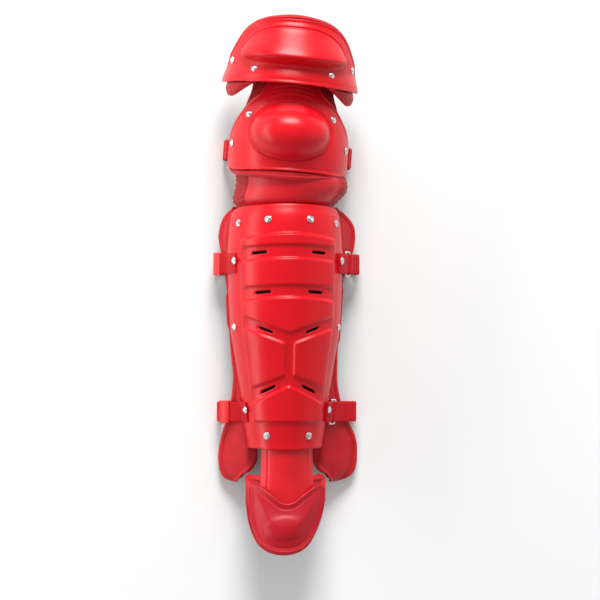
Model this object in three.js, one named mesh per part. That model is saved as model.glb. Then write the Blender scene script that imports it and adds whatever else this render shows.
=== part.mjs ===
// Catcher leg guard: hard thigh cap, knee cap, shin shell and foot cap on bound padding, with webbing straps.
// Millimetres. It lies on its back: +Z is its front, +Y its thigh end, +X its right as seen from the front.
import * as THREE from "three";

// Hard shells
const shinLength = 309; // shin shell, bottom edge to top edge
const shinHalfWidth = 74; // at its widest, above the calf
const shinRise = 73; // front of the shin shell above its side edges, at its widest
const edgeHeight = 38; // side edges of the shells above the surface that the guard lies on
const edgeAngle = 90; // side edges of the shells, in degrees from the front
const shellWall = 3;
const panelRelief = 3.6; // raised panels above the shin shell
const panelSlope = 2.8; // length of the slope at a raised panel's edge
const ventWidth = 3.8;

// Knee cap, measured from the middle of its dome
const kneeHalfWidth = 76.5;
const kneeBelow = 50.5;
const kneeAbove = 66;
const domeHalfWidth = 51;
const domeHalfLength = 35;
const domeRise = 25;

// Thigh cap, measured from the middle of its bulge
const thighHalfWidth = 81.5;
const thighBelow = 41;
const thighAbove = 37.5;
const bulgeHalfWidth = 66;
const bulgeAbove = 33;
const bulgeBelow = 6;
const bulgeMiddle = -9;
const bulgeRise = 17;

// Padding and soft pieces
const padWall = 8;
const padClearance = 0.9; // between a shell and the padding behind it
const capClearance = 1.6; // and between a knee or thigh cap and its padding
const seam = 0.5; // between pieces that meet edge to edge
const capLip = 6; // padding past the edge of the thigh shell
const kneeLip = 3.4; // padding past the sides of the knee shell
const kneeApron = 12; // padding below the knee shell
const padStart = 4; // shin padding's lower end above the shin shell's bottom edge
const padEnd = 8; // and its upper end below the top edge
const skirtShows = 28; // soft panel seen between the knee padding and the shin shell
const skirtWall = 3;
const skirtTuck = 8; // soft panel hidden under the knee padding
const skirtRise = 0.97; // front of the soft panel above its side edges, by share of that of the shells
const panelAngle = 55; // side edges of the soft panel, in degrees from the front
const gussetPleats = 4;
const thighTuck = 4; // neck of the knee cap hidden behind the thigh cap
const thighFlap = 21; // padding flaps below the thigh shell, at its sides
const wingReach = 16; // side wings past the widest place of the shin shell
const wingTipHeight = 9.5; // front face of the lower wings' tips above the surface
const wingWall = 7;
const tongueWall = 4;
const tongueLength = 80;
const tongueHalfWidth = 36;

// Foot cap
const footHalfWidth = 52;
const footLength = 92; // from its upper corners to its tip
const footStart = 41; // its upper corners below the shin shell
const footLip = 2.8;
const footDome = 5;
const footSway = 5; // how far its tip lies to the left

// Webbing, buckles and rivets
const webbing = 1.8;
const webbingWidth = 25;
const webbingGap = 0.4;
const strapSlack = 8; // length of a strap past the wing's tip before it turns under
const wire = 2.8; // thickness of the wire rings
const ringReach = 13; // between a wire ring's two long bars
const ringRound = 2.5; // rounding of its ends
const foldLength = 15; // webbing folded back round a ring
const strapLead = 10; // degrees that a calf strap reaches past its rivet
const tabTail = 7; // webbing past the rivet that holds it
const tabRivetRise = 3; // that rivet above the middle of its webbing
const ringTuck = 5; // wire ring's near bar above the edge of the shin shell
const kneeStrapPlace = -0.46; // by share of the knee cap's length below its middle
const kneeStrapHang = 16; // length of the knee strap that hangs down before it turns under
const kneeStrapTurn = 12; // and length in which it comes to lie flat
const capStrapAngles = [34, 61]; // side edges of the straps between the caps, in degrees from the front
const capStrapSunk = 19.5; // their upper ends below the face of the thigh cap
const capStrapHidden = 12; // their upper ends past the neck of the knee cap
const buckleLength = 14; // slide buckle, along its strap
const buckleWall = 1.5;
const rivetWidth = 9.4;
const rivetHeight = 2.6;
const rivetGap = 0.35;

// Lean of the loosely tied caps, in degrees, and how far they lie to the right
const kneeRoll = -4;
const kneeYaw = -4;
const kneeShift = 8.5;
const thighRoll = -5;
const thighYaw = -3;
const thighShift = 12;

const wingSpan = shinHalfWidth + wingReach; // reach of the side wings from the middle
const kneeMiddle = shinLength + skirtShows + kneeApron + kneeBelow;
const thighMiddle = kneeMiddle + kneeAbove - thighTuck + thighBelow;

const radians = THREE.MathUtils.degToRad;
const clamp = THREE.MathUtils.clamp;
const lerp = THREE.MathUtils.lerp;

// Materials
const plastic = (color) => new THREE.MeshStandardMaterial({ color, roughness: 0.15, metalness: 0 });
const cloth = (color) => new THREE.MeshStandardMaterial({ color, roughness: 0.85, metalness: 0 });
const shellRed = plastic("#c8101a");
const padRed = cloth("#a80d16");
const vinylRed = cloth("#d01820");
const webbingRed = cloth("#c21822");
const buckleRed = plastic("#d8453c");
const chrome = new THREE.MeshStandardMaterial({ color: "#d8d8dc", roughness: 0.15, metalness: 1 });

// Value at a place in a table, by a smooth curve through its rows
function along(table, place, column = 1) {
  const last = table.length - 1;
  if (place <= table[0][0]) return table[0][column];
  if (place >= table[last][0]) return table[last][column];
  const row = table.findIndex((entry) => entry[0] > place) - 1;
  const slopeAt = (index) => {
    if (index === 0 || index === last) return 0;
    const before = (table[index][column] - table[index - 1][column]) / (table[index][0] - table[index - 1][0]);
    const after = (table[index + 1][column] - table[index][column]) / (table[index + 1][0] - table[index][0]);
    return before * after <= 0 ? 0 : (2 * before * after) / (before + after);
  };
  const [from, to] = [table[row], table[row + 1]];
  const span = to[0] - from[0];
  const part = (place - from[0]) / span;
  const ease = part * part * (3 - 2 * part);
  const leave = slopeAt(row) * span * part * (1 - part) * (1 - part);
  const arrive = -slopeAt(row + 1) * span * part * part * (1 - part);
  return lerp(from[column], to[column], ease) + leave + arrive;
}

// Faces of a grid of points held row by row, leaving out the cells that are open
function gridFaces(rows, columns, isOpen = () => false) {
  const faces = [];
  for (let row = 0; row < rows - 1; row++) {
    for (let column = 0; column < columns - 1; column++) {
      if (isOpen(row, column)) continue;
      const corner = row * columns + column;
      faces.push([corner, corner + 1, corner + columns + 1, corner + columns]);
    }
  }
  return faces;
}

// Faces of rings of points round a middle point, which comes first
function ringFaces(rings, segments) {
  const faces = [];
  const at = (ring, segment) => 1 + ring * segments + (segment % segments);
  for (let segment = 0; segment < segments; segment++) {
    faces.push([0, at(0, segment), at(0, segment + 1)]);
    for (let ring = 0; ring < rings - 1; ring++) {
      faces.push([
        at(ring, segment),
        at(ring + 1, segment),
        at(ring + 1, segment + 1),
        at(ring, segment + 1),
      ]);
    }
  }
  return faces;
}

// One closed wall between matching front and back points, joined round every free edge of the faces
function closedWall(front, back, faces) {
  const count = front.length;
  const triangles = [];
  const edges = new Set();
  const freeEdges = [];
  for (const face of faces) {
    for (let corner = 1; corner < face.length - 1; corner++) {
      triangles.push(face[0], face[corner], face[corner + 1]);
      triangles.push(face[0] + count, face[corner + 1] + count, face[corner] + count);
    }
    face.forEach((from, corner) => edges.add(`${from} ${face[(corner + 1) % face.length]}`));
  }
  for (const edge of edges) {
    const [from, to] = edge.split(" ").map(Number);
    if (!edges.has(`${to} ${from}`)) freeEdges.push([from, to]);
  }
  for (const [from, to] of freeEdges) {
    triangles.push(to, from, from + count, to, from + count, to + count);
  }
  const geometry = new THREE.BufferGeometry();
  geometry.setFromPoints([...front, ...back]);
  geometry.setIndex(triangles);
  geometry.computeVertexNormals();
  return geometry;
}

// Points moved back by a wall thickness, square to the surface that the faces make
function pointsBehind(front, faces, wall) {
  const sums = front.map(() => new THREE.Vector3());
  for (const face of faces) {
    const across = front[face[2]].clone().sub(front[face[0]]);
    const up = front[face[face.length - 1]].clone().sub(front[face[1]]);
    const square = across.cross(up).normalize();
    face.forEach((index) => sums[index].add(square));
  }
  return front.map((point, index) => point.clone().addScaledVector(sums[index].normalize(), -wall));
}

function named(name, geometry, material) {
  const mesh = new THREE.Mesh(geometry, material);
  mesh.name = name;
  return mesh;
}

// Point of an arched section: an angle from its front, 90 degrees at its side edge, straight down past it
function arch(halfWidth, rise, angle, y, inset) {
  const turn = clamp(angle, -edgeAngle, edgeAngle);
  const past = radians(Math.abs(angle) - Math.abs(turn)) * halfWidth;
  const x = (halfWidth - inset) * Math.sin(radians(turn));
  const z = edgeHeight + (rise - inset) * Math.cos(radians(turn)) - past;
  return new THREE.Vector3(x, y, z);
}

// Shin shell's half width as a share of its widest, by share of its length from the bottom edge
const shinOutline = [
  [0, 0.65],
  [0.09, 0.705],
  [0.21, 0.765],
  [0.37, 0.866],
  [0.49, 0.946],
  [0.65, 0.985],
  [0.81, 1],
  [0.9, 0.98],
  [0.96, 0.94],
  [1, 0.88],
];
const shinWidthAt = (share) => shinHalfWidth * along(shinOutline, share);

function shinPoint(angle, share, inset) {
  const size = along(shinOutline, share);
  return arch(shinHalfWidth * size, shinRise * size, angle, shinLength * share, inset);
}

// Raised panels from the bottom up: edges by share of the shell's length, in the middle and at the field's side
const panels = [
  { bottom: [0.107, 0.109], top: [0.265, 0.196], pointedTop: true },
  { bottom: [0.3, 0.245], top: [0.437, 0.498], pointedTop: true, pointedBottom: true, split: true },
  { bottom: [0.472, 0.538], top: [0.628, 0.613], pointedBottom: true },
  { bottom: [0.664, 0.655], top: [0.787, 0.774] },
  { bottom: [0.828, 0.818], top: [0.887, 0.866] },
];
// Vents in the channel above each panel: inner and outer end as shares of the half width
const vents = [
  [0.27, 0.6],
  [0.29, 0.54],
  [0.31, 0.586],
  [0.37, 0.63],
];
const fieldSide = 0.76; // top of the slope at the field's side, as a share of the half width
const fieldFoot = 0.81;
const channelCrest = 0.108; // half width of the middle channel that splits a panel
const channelFoot = 0.07;
const apexRound = 0.06;

// Lines that cross the shell, from the bottom edge up; level 1 lies on the raised panels
function shinLines() {
  const slope = panelSlope / shinLength;
  const lines = [{ middle: 0, side: 0.006, level: 0 }];
  lines.push({ middle: 0.055, side: 0.057, level: 0 });
  panels.forEach((panel, index) => {
    const edge = (ends, shift, level, pointed) => {
      lines.push({ middle: ends[0] + shift, side: ends[1] + shift, level, pointed, split: panel.split });
    };
    edge(panel.bottom, 0, 0, panel.pointedBottom);
    edge(panel.bottom, slope, 1, panel.pointedBottom);
    const height = panel.top[0] - panel.bottom[0];
    if (height > 0.13) {
      const half = [0, 1].map((end) => (panel.bottom[end] + panel.top[end]) / 2);
      edge(half, 0, 1, panel.pointedTop && panel.pointedBottom);
    }
    edge(panel.top, -slope, 1, panel.pointedTop);
    edge(panel.top, 0, 0, panel.pointedTop);
    if (index === panels.length - 1) return;
    const above = panels[index + 1];
    const centre = [0, 1].map((end) => (panel.top[end] + above.bottom[end]) / 2);
    const half = ventWidth / 2 / shinLength;
    edge(centre, -half, 0, panel.pointedTop);
    lines[lines.length - 1].vent = index;
    lines[lines.length - 1].split = false;
    edge(centre, half, 0, panel.pointedTop);
    lines[lines.length - 1].split = false;
  });
  lines.push({ middle: 0.945, side: 0.932, level: 0 });
  lines.push({ middle: 1, side: 0.993, level: 0, corner: 0.022 });
  return lines;
}

// Ends of the vent nearest to a place on the shell, blended between the channels
function ventEnds(share) {
  const places = vents.map((ends, index) => {
    const centre = (panels[index].top[0] + panels[index + 1].bottom[0]) / 2;
    return [centre, ...ends];
  });
  return [along(places, share, 1), along(places, share, 2)];
}

function shinShell() {
  const lines = shinLines();
  const front = [];
  const back = [];
  const open = new Set();
  let columns = 0;
  lines.forEach((line, row) => {
    const [inner, outer] = ventEnds(line.middle);
    const middle = (inner + outer) / 2;
    const half = [0, channelFoot, channelCrest, inner, middle, outer, fieldSide, fieldFoot];
    const angles = half.map((share) => THREE.MathUtils.radToDeg(Math.asin(share)));
    angles.push(...[0.72, 0.86, 1].map((part) => part * edgeAngle));
    const across = [...angles.slice(1).map((angle) => -angle).reverse(), ...angles];
    columns = across.length;
    const centre = (columns - 1) / 2;
    across.forEach((angle, column) => {
      const share = Math.abs(Math.sin(radians(angle)));
      const part = Math.min(share / fieldSide, 1);
      const bend = (Math.hypot(part, apexRound) - apexRound) / (Math.hypot(1, apexRound) - apexRound);
      const sideways = clamp((Math.abs(angle) - 50) / 40, 0, 1) ** 2;
      const place = lerp(line.middle, line.side, line.pointed ? bend : part * part);
      const y = place - (line.corner ?? 0) * sideways;
      const fromCentre = Math.abs(column - centre);
      const raised = line.level === 1 && fromCentre <= 6 && !(line.split && fromCentre <= 1);
      const lift = raised ? panelRelief : 0;
      front.push(shinPoint(angle, y, -lift));
      back.push(shinPoint(angle, y, shellWall - lift));
      const ventColumn = [3, 4].includes(column - centre) || [-5, -4].includes(column - centre);
      if (line.vent !== undefined && ventColumn) open.add(`${row} ${column}`);
    });
  });
  const faces = gridFaces(lines.length, columns, (row, column) => open.has(`${row} ${column}`));
  return closedWall(front, back, faces);
}

// A wall that follows an arched surface: rows along the guard, columns across it
function archedWall({ rows, columns, place, wall, ripple = () => 0 }) {
  const front = [];
  const back = [];
  for (let row = 0; row <= rows; row++) {
    for (let column = 0; column <= columns; column++) {
      const [across, up] = [column / columns, row / rows];
      const lift = ripple(across, up);
      front.push(place(across, up, -lift));
      back.push(place(across, up, wall - lift));
    }
  }
  return closedWall(front, back, gridFaces(rows + 1, columns + 1));
}

const padInset = shellWall + padClearance;

function shinPad() {
  const place = (across, up, inset) => {
    const share = lerp(padStart, shinLength - padEnd, up) / shinLength;
    return shinPoint(lerp(-edgeAngle, edgeAngle, across), share, padInset + inset);
  };
  return archedWall({ rows: 6, columns: 16, place, wall: padWall });
}

// Side wings of padding. Columns: place along the shin shell by share of its length, reach from the middle on the
// left and on the right and inner edge, by share of the wing span, and how far the tip drops, by share of the most
const wingRows = [
  [-0.137, 0.73, 0.8, 0.68, 1],
  [-0.128, 0.83, 0.91, 0.645, 1],
  [-0.108, 0.895, 1.01, 0.6, 1],
  [-0.08, 0.925, 1.06, 0.48, 1],
  [-0.037, 0.94, 1.08, 0.41, 1],
  [0, 0.93, 1.08, 0.4, 0.97],
  [0.045, 0.9, 1.05, 0, 0.88],
  [0.1, 0.85, 0.96, 0, 0.72],
  [0.15, 0.8, 0.87, 0, 0.6],
  [0.21, 0.765, 0.815, 0, 0.45],
  [0.29, 0.75, 0.775, 0, 0.33],
  [0.4, 0.785, 0.78, 0, 0.3],
  [0.52, 0.82, 0.81, 0, 0.3],
  [0.65, 0.845, 0.84, 0, 0.33],
  [0.72, 0.87, 0.88, 0, 0.42],
  [0.78, 0.895, 0.96, 0, 0.56],
  [0.83, 0.93, 1.03, 0, 0.7],
  [0.875, 0.95, 1.05, 0, 0.75],
  [0.91, 0.935, 1.04, 0, 0.7],
  [0.945, 0.9, 0.97, 0, 0.55],
  [0.975, 0.83, 0.86, 0, 0.35],
  [0.99, 0.77, 0.79, 0, 0.25],
];
const wingHung = padInset + padWall - 1; // how far in from the shell's edge a wing is sewn on

// A wing's outline at a place along the shell: inner edge, bend, tip and the height of its front face
function wingAt(share, side) {
  const halfWidth = shinWidthAt(Math.max(share, 0));
  const tip = wingSpan * along(wingRows, share, side < 0 ? 1 : 2);
  const inner = Math.max(halfWidth - wingHung, wingSpan * along(wingRows, share, 3));
  const bend = halfWidth + seam;
  const mostDrop = edgeHeight - seam - wingTipHeight;
  const drop = mostDrop * along(wingRows, share, 4);
  const reach = Math.max(tip - bend, 1);
  const heightAt = (x) => edgeHeight - seam - drop * clamp((x - bend) / reach, 0, 1.05);
  return { tip, inner, bend, heightAt, y: shinLength * share };
}

function wing(side) {
  const shares = [0, 0.18, 0.45, 0.72, 0.94, 1];
  const front = [];
  const trim = [];
  for (const [share] of wingRows) {
    const { tip, inner, bend, heightAt, y } = wingAt(share, side);
    const start = Math.min(Math.max(bend, inner), tip - 1.5);
    shares.forEach((part, column) => {
      const x = column === 0 ? inner : lerp(start, tip, (part - 0.18) / 0.82);
      const rounding = column === shares.length - 1 ? 1.6 : 0;
      front.push(new THREE.Vector3(side * x, y, heightAt(x) - rounding));
      trim.push(rounding);
    });
  }
  const columns = shares.length;
  let faces = gridFaces(wingRows.length, columns);
  if (side < 0) faces = faces.map((face) => [...face].reverse());
  const back = pointsBehind(front, faces, wingWall).map((point, index) => {
    point.z += trim[index];
    point.y = lerp(point.y, front[index].y, 0.7);
    return point;
  });
  return closedWall(front, back, faces);
}

// Distance along a direction from a middle point to the edge of a shape
function reachTo(isInside, direction) {
  let near = 0;
  let far = 4 * shinHalfWidth;
  for (let step = 0; step < 32; step++) {
    const half = (near + far) / 2;
    if (isInside(direction[0] * half, direction[1] * half)) near = half;
    else far = half;
  }
  return near;
}

// Directions round a middle point, spread for a shape that is wider than it is long
function directions(segments, squeeze) {
  return Array.from({ length: segments }, (_, segment) => {
    const turn = (2 * Math.PI * segment) / segments;
    const direction = new THREE.Vector2(Math.cos(turn), squeeze * Math.sin(turn)).normalize();
    return [direction.x, direction.y];
  });
}

// A cap moulded round the leg. Its sheet coordinates are millimetres round the leg and along it
function capWall({ rings, segments, squeeze, place, wall }) {
  const front = [place(0, 0, rings[0].lift)];
  const back = [place(0, 0, rings[0].lift - wall)];
  for (const ring of rings.slice(1)) {
    directions(segments, squeeze).forEach((direction, segment) => {
      const reach = ring.reach(direction);
      const [round, up] = [direction[0] * reach, direction[1] * reach];
      const lift = typeof ring.lift === "function" ? ring.lift(segment) : ring.lift;
      front.push(place(round, up, lift));
      back.push(place(round, up, lift - (ring.wall ?? wall)));
    });
  }
  return closedWall(front, back, ringFaces(rings.length - 1, segments));
}

// Knee cap. Columns: place along it in shares of its length above or below the dome's middle, half width by
// share of the widest, and how far round the leg the shell goes in degrees
const kneeOutline = [
  [-1.24, 0.99, 90],
  [-1, 0.98, 62],
  [-0.95, 0.985, 76],
  [-0.84, 0.99, 86],
  [-0.6, 1, 90],
  [-0.2, 0.99, 86],
  [0.14, 0.965, 73],
  [0.3, 0.935, 65],
  [0.54, 0.875, 54],
  [0.79, 0.78, 36],
  [0.9, 0.755, 29],
  [1, 0.735, 23.5],
];
const kneeShare = (y) => (y < 0 ? y / kneeBelow : y / kneeAbove);

function kneePoint(round, y, lift) {
  const halfWidth = kneeHalfWidth * along(kneeOutline, kneeShare(y));
  return arch(halfWidth, halfWidth, THREE.MathUtils.radToDeg(round / kneeHalfWidth), y, -lift);
}

function insideKnee(round, y) {
  const share = kneeShare(y);
  const angle = Math.abs(THREE.MathUtils.radToDeg(round / kneeHalfWidth));
  return share > -1 && share < 1 && angle < along(kneeOutline, share, 2);
}

const domeRound = kneeHalfWidth * Math.asin(domeHalfWidth / kneeHalfWidth);

function domeReach(direction, scale) {
  return scale / Math.hypot(direction[0] / domeRound, direction[1] / domeHalfLength);
}

const capSegments = 36;

function kneeShell() {
  const edge = (direction) => reachTo(insideKnee, direction);
  const dome = (scale) => ({
    reach: (direction) => domeReach(direction, scale),
    lift: domeRise * (1 - scale ** 2.6),
  });
  const rings = [
    { lift: domeRise },
    dome(0.35),
    dome(0.62),
    dome(0.84),
    dome(0.96),
    { reach: (direction) => domeReach(direction, 1.04), lift: 0 },
    { reach: (direction) => lerp(domeReach(direction, 1.04), edge(direction), 0.36), lift: 0 },
    { reach: (direction) => lerp(domeReach(direction, 1.04), edge(direction), 0.7), lift: 0 },
    { reach: edge, lift: 0 },
  ];
  return capWall({ rings, segments: capSegments, squeeze: 0.75, place: kneePoint, wall: shellWall });
}

// Padding behind a cap: it fills the cap's hollow back and stands out round its edge as a bound roll
function capPad({ shellEdge, padEdge, squeeze, place, wall }) {
  const under = -shellWall - capClearance;
  const shows = directions(capSegments, squeeze).map((way) => padEdge(way) > shellEdge(way) + 2.4);
  const showsNear = (segment) => [-1, 0, 1].every((step) => shows.at((segment + step) % capSegments));
  const upTo = (past, spare) => (direction) => Math.min(shellEdge(direction) + past, padEdge(direction) - spare);
  const rolled = (height) => (segment) => (showsNear(segment) ? height : under);
  const rings = [
    { lift: under },
    { reach: (direction) => upTo(0, 3)(direction) * 0.35, lift: under },
    { reach: (direction) => upTo(0, 3)(direction) * 0.7, lift: under },
    { reach: upTo(padClearance, 1.6), lift: under },
    { reach: upTo(padClearance + 0.4, 1.1), lift: rolled(-0.4) },
    { reach: padEdge, lift: rolled(-1.6), wall: wall - 1.6 },
  ];
  return capWall({ rings, segments: capSegments, squeeze, place, wall });
}

function kneePad() {
  const shellEdge = (direction) => reachTo(insideKnee, direction);
  const padEdge = (direction) => {
    const below = Math.max(0, -direction[1]);
    return shellEdge(direction) + kneeLip + (kneeApron - kneeLip) * below ** 0.5 * (below > 0.25 ? 1 : 0);
  };
  return capPad({ shellEdge, padEdge, squeeze: 0.75, place: kneePoint, wall: padWall });
}

// Thigh cap. Columns as for the knee cap
const thighOutline = [
  [-1.6, 1.03, 90],
  [-1, 1.03, 90],
  [-0.5, 1, 85],
  [-0.15, 0.99, 75],
  [0.13, 0.97, 68],
  [0.48, 0.94, 60],
  [0.8, 0.9, 44],
  [0.95, 0.87, 26],
  [1, 0.86, 9],
  [1.2, 0.79, 0],
];
const thighShare = (y) => (y < 0 ? y / thighBelow : y / thighAbove);

function thighPoint(round, y, lift) {
  const halfWidth = thighHalfWidth * along(thighOutline, thighShare(y));
  return arch(halfWidth, halfWidth, THREE.MathUtils.radToDeg(round / thighHalfWidth), y, -lift);
}

function insideThigh(round, y) {
  const share = thighShare(y);
  const angle = Math.abs(THREE.MathUtils.radToDeg(round / thighHalfWidth));
  const rim = -1 - 0.1 * (angle / edgeAngle) ** 2;
  return share > rim && share < 1 && angle < along(thighOutline, share, 2);
}

const bulgeRound = thighHalfWidth * Math.asin(bulgeHalfWidth / thighHalfWidth);

function insideBulge(round, y) {
  const up = y - bulgeMiddle;
  return Math.hypot(round / bulgeRound, up / (up > 0 ? bulgeAbove : bulgeBelow)) < 1;
}

const thighEdge = (direction) => reachTo(insideThigh, direction);

function thighShell() {
  const bulge = (scale, lift) => ({ reach: (direction) => reachTo(insideBulge, direction) * scale, lift });
  const foot = bulge(1.03, 0);
  const between = (part) => ({
    reach: (direction) => lerp(foot.reach(direction), thighEdge(direction), part),
    lift: 0,
  });
  const rings = [
    { lift: bulgeRise },
    bulge(0.4, bulgeRise),
    bulge(0.72, bulgeRise * 0.94),
    bulge(0.9, bulgeRise * 0.72),
    foot,
    ...[0.3, 0.55, 0.78].map((part) => between(part)),
    { reach: thighEdge, lift: 0 },
  ];
  return capWall({ rings, segments: capSegments, squeeze: 0.55, place: thighPoint, wall: shellWall });
}

function thighPad() {
  const insideFlaps = (round, y) => {
    const angle = Math.abs(THREE.MathUtils.radToDeg(round / thighHalfWidth));
    const drop = thighFlap * THREE.MathUtils.smoothstep(angle, 30, 46);
    return y > -thighBelow + 2 - drop && angle < edgeAngle + THREE.MathUtils.radToDeg(capLip / thighHalfWidth);
  };
  const padEdge = (direction) => {
    const past = thighEdge(direction) + capLip;
    if (direction[1] > -0.2) return past;
    return Math.min(reachTo(insideFlaps, direction), past + thighFlap);
  };
  return capPad({ shellEdge: thighEdge, padEdge, squeeze: 0.55, place: thighPoint, wall: padWall });
}

// Soft panel and gathered gussets between the knee padding and the shin shell. Columns: share of the way up,
// half width by share of a width that goes from the shin shell's widest to the knee cap's
const skirtOutline = [
  [0, 0.81],
  [0.19, 0.815],
  [0.28, 0.905],
  [0.45, 0.945],
  [0.64, 0.945],
  [0.72, 0.9],
  [0.82, 0.83],
  [1, 0.785],
];

function skirtPoint(angle, up, inset) {
  const start = shinLength - padEnd + seam;
  const y = lerp(start, shinLength + skirtShows + skirtTuck, up);
  const size = along(skirtOutline, up);
  const halfWidth = lerp(shinHalfWidth, kneeHalfWidth, up) * size;
  const point = arch(halfWidth, lerp(shinRise, kneeHalfWidth, up) * skirtRise * size, angle, y, inset);
  const lean = THREE.MathUtils.smoothstep(up, 0.2, 0.7);
  point.y += point.x * Math.tan(radians(kneeRoll)) * lean;
  point.x += kneeShift * lean;
  return point;
}

function kneePanel() {
  const place = (across, up, inset) => skirtPoint(lerp(-panelAngle, panelAngle, across), up, inset);
  return archedWall({ rows: 7, columns: 8, place, wall: skirtWall });
}

function kneeGusset(side) {
  const start = panelAngle + THREE.MathUtils.radToDeg(seam / shinHalfWidth);
  const ends = side < 0 ? [-edgeAngle, -start] : [start, edgeAngle];
  const place = (across, up, inset) => skirtPoint(lerp(...ends, across), up, inset);
  const ripple = (across, up) => {
    const outward = side < 0 ? 1 - across : across;
    const shows = THREE.MathUtils.smoothstep(up, 0.25, 0.4) * (1 - THREE.MathUtils.smoothstep(up, 0.7, 0.85));
    return -0.9 * outward * shows * (1 - Math.cos(2 * Math.PI * gussetPleats * up));
  };
  return archedWall({ rows: 17, columns: 3, place, wall: skirtWall, ripple });
}

// Ankle tongue, foot padding and foot cap: an arched sheet that runs on from the front of the shin shell.
// Columns: share of the way from the shell's bottom edge to the tip, radius of the arch by share of the foot
// cap's half width, height of its front by share of the shin shell's rise at the bottom edge
const footOutline = [
  [0, 0.93, 1],
  [0.2, 1, 0.99],
  [0.4, 1.35, 1],
  [0.7, 1.5, 1.04],
  [1, 1.55, 1.12],
];
const footEnd = footStart + footLength;
const footRadius = (y) => footHalfWidth * along(footOutline, -y / footEnd);

function footPoint(x, y, inset) {
  const radius = footRadius(y);
  const front = edgeHeight + shinRise * along(shinOutline, 0) * along(footOutline, -y / footEnd, 2);
  const turn = Math.asin(clamp(x / radius, -0.98, 0.98));
  const level = front - radius;
  const reach = radius - inset;
  const sway = footSway * THREE.MathUtils.smoothstep(-y, footStart, footEnd);
  return new THREE.Vector3(reach * Math.sin(turn) - sway, y, level + reach * Math.cos(turn));
}

// Foot cap's edges below its upper corners, by share of its half width: the dip of its upper edge, and its tip
const footCapEdges = [
  [0, 0.26, 1],
  [0.15, 0.245, 0.995],
  [0.35, 0.165, 0.97],
  [0.6, 0.07, 0.885],
  [0.8, 0.01, 0.715],
  [0.93, 0, 0.505],
  [1, 0.05, 0.31],
];
const footColumns = 12;

function footSheet({ spread, upper, lower, front, wall, rows, dome = () => 0 }) {
  const place = (across, up, inset) => {
    const share = -Math.cos(Math.PI * across);
    const y = lerp(lower(Math.abs(share)), upper(Math.abs(share)), up);
    const radius = footRadius(y);
    return footPoint((share * spread * radius) / (radius - front), y, front + inset);
  };
  return archedWall({ rows, columns: footColumns, place, wall, ripple: dome });
}

function footCap() {
  return footSheet({
    spread: footHalfWidth - footLip,
    upper: (share) => -footStart - footLip - footLength * along(footCapEdges, share, 1),
    lower: (share) => footLip - footStart - footLength * along(footCapEdges, share, 2),
    front: 0,
    wall: shellWall,
    rows: 6,
    dome: (across, up) => footDome * Math.sin(Math.PI * across) ** 2 * Math.sin(Math.PI * up) ** 1.5,
  });
}

const tongueInset = shellWall + padClearance;
const footPadInset = tongueInset + tongueWall + seam;

function footPad() {
  return footSheet({
    spread: footHalfWidth,
    upper: (share) => -footStart + 5 + 4 * share,
    lower: (share) => -footStart - footLength * along(footCapEdges, share, 2),
    front: footPadInset,
    wall: padWall,
    rows: 6,
  });
}

function ankleTongue() {
  const place = (across, up, inset) => {
    const y = lerp(-tongueLength, padStart - seam, up);
    return footPoint(lerp(-tongueHalfWidth, tongueHalfWidth, across), y, tongueInset + inset);
  };
  return archedWall({ rows: 6, columns: 8, place, wall: tongueWall });
}

// A flat band of webbing between the paths of its two edges
function band([low, high], thickness = webbing) {
  const front = [];
  const back = [];
  low.forEach((_, index) => {
    for (const path of [low, high]) {
      const before = path[Math.max(index - 1, 0)];
      const after = path[Math.min(index + 1, path.length - 1)];
      const way = after.clone().sub(before).setY(0).normalize();
      const square = new THREE.Vector3(way.z, 0, -way.x).multiplyScalar(thickness / 2);
      front.push(path[index].clone().add(square));
      back.push(path[index].clone().sub(square));
    }
  });
  return closedWall(front, back, gridFaces(low.length, 2));
}

// A wire ring round two layers of folded webbing: each long bar is given by its ends, low and high
function wireRing(near, far) {
  const steps = 6;
  const path = [];
  const up = near[1].clone().sub(near[0]).add(far[1]).sub(far[0]).normalize();
  const square = far[0].clone().sub(near[0]).cross(up).normalize();
  for (const end of [1, 0]) {
    const middle = near[end].clone().add(far[end]).multiplyScalar(0.5);
    const spread = (end === 1 ? near : far)[end].clone().sub(middle);
    for (let step = 0; step <= steps; step++) {
      const turn = (Math.PI * step) / steps;
      const past = (end === 1 ? 1 : -1) * (wire + ringRound * Math.sin(turn));
      path.push(middle.clone().addScaledVector(spread, Math.cos(turn)).addScaledVector(up, past));
    }
  }
  const sides = 6;
  const points = [];
  path.forEach((point, index) => {
    const before = path[(index + path.length - 1) % path.length];
    const after = path[(index + 1) % path.length];
    const way = after.clone().sub(before).normalize();
    const away = new THREE.Vector3().crossVectors(way, square).normalize();
    for (let side = 0; side < sides; side++) {
      const turn = (2 * Math.PI * side) / sides;
      const spoke = away.clone().multiplyScalar(Math.cos(turn)).addScaledVector(square, Math.sin(turn));
      points.push(point.clone().addScaledVector(spoke, wire / 2));
    }
  });
  const triangles = [];
  path.forEach((_, index) => {
    const next = (index + 1) % path.length;
    for (let side = 0; side < sides; side++) {
      const beside = (side + 1) % sides;
      const [a, b] = [index * sides + side, index * sides + beside];
      const [c, d] = [next * sides + beside, next * sides + side];
      triangles.push(a, c, b, a, d, c);
    }
  });
  const geometry = new THREE.BufferGeometry().setFromPoints(points);
  geometry.setIndex(triangles);
  geometry.computeVertexNormals();
  return geometry;
}

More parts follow.
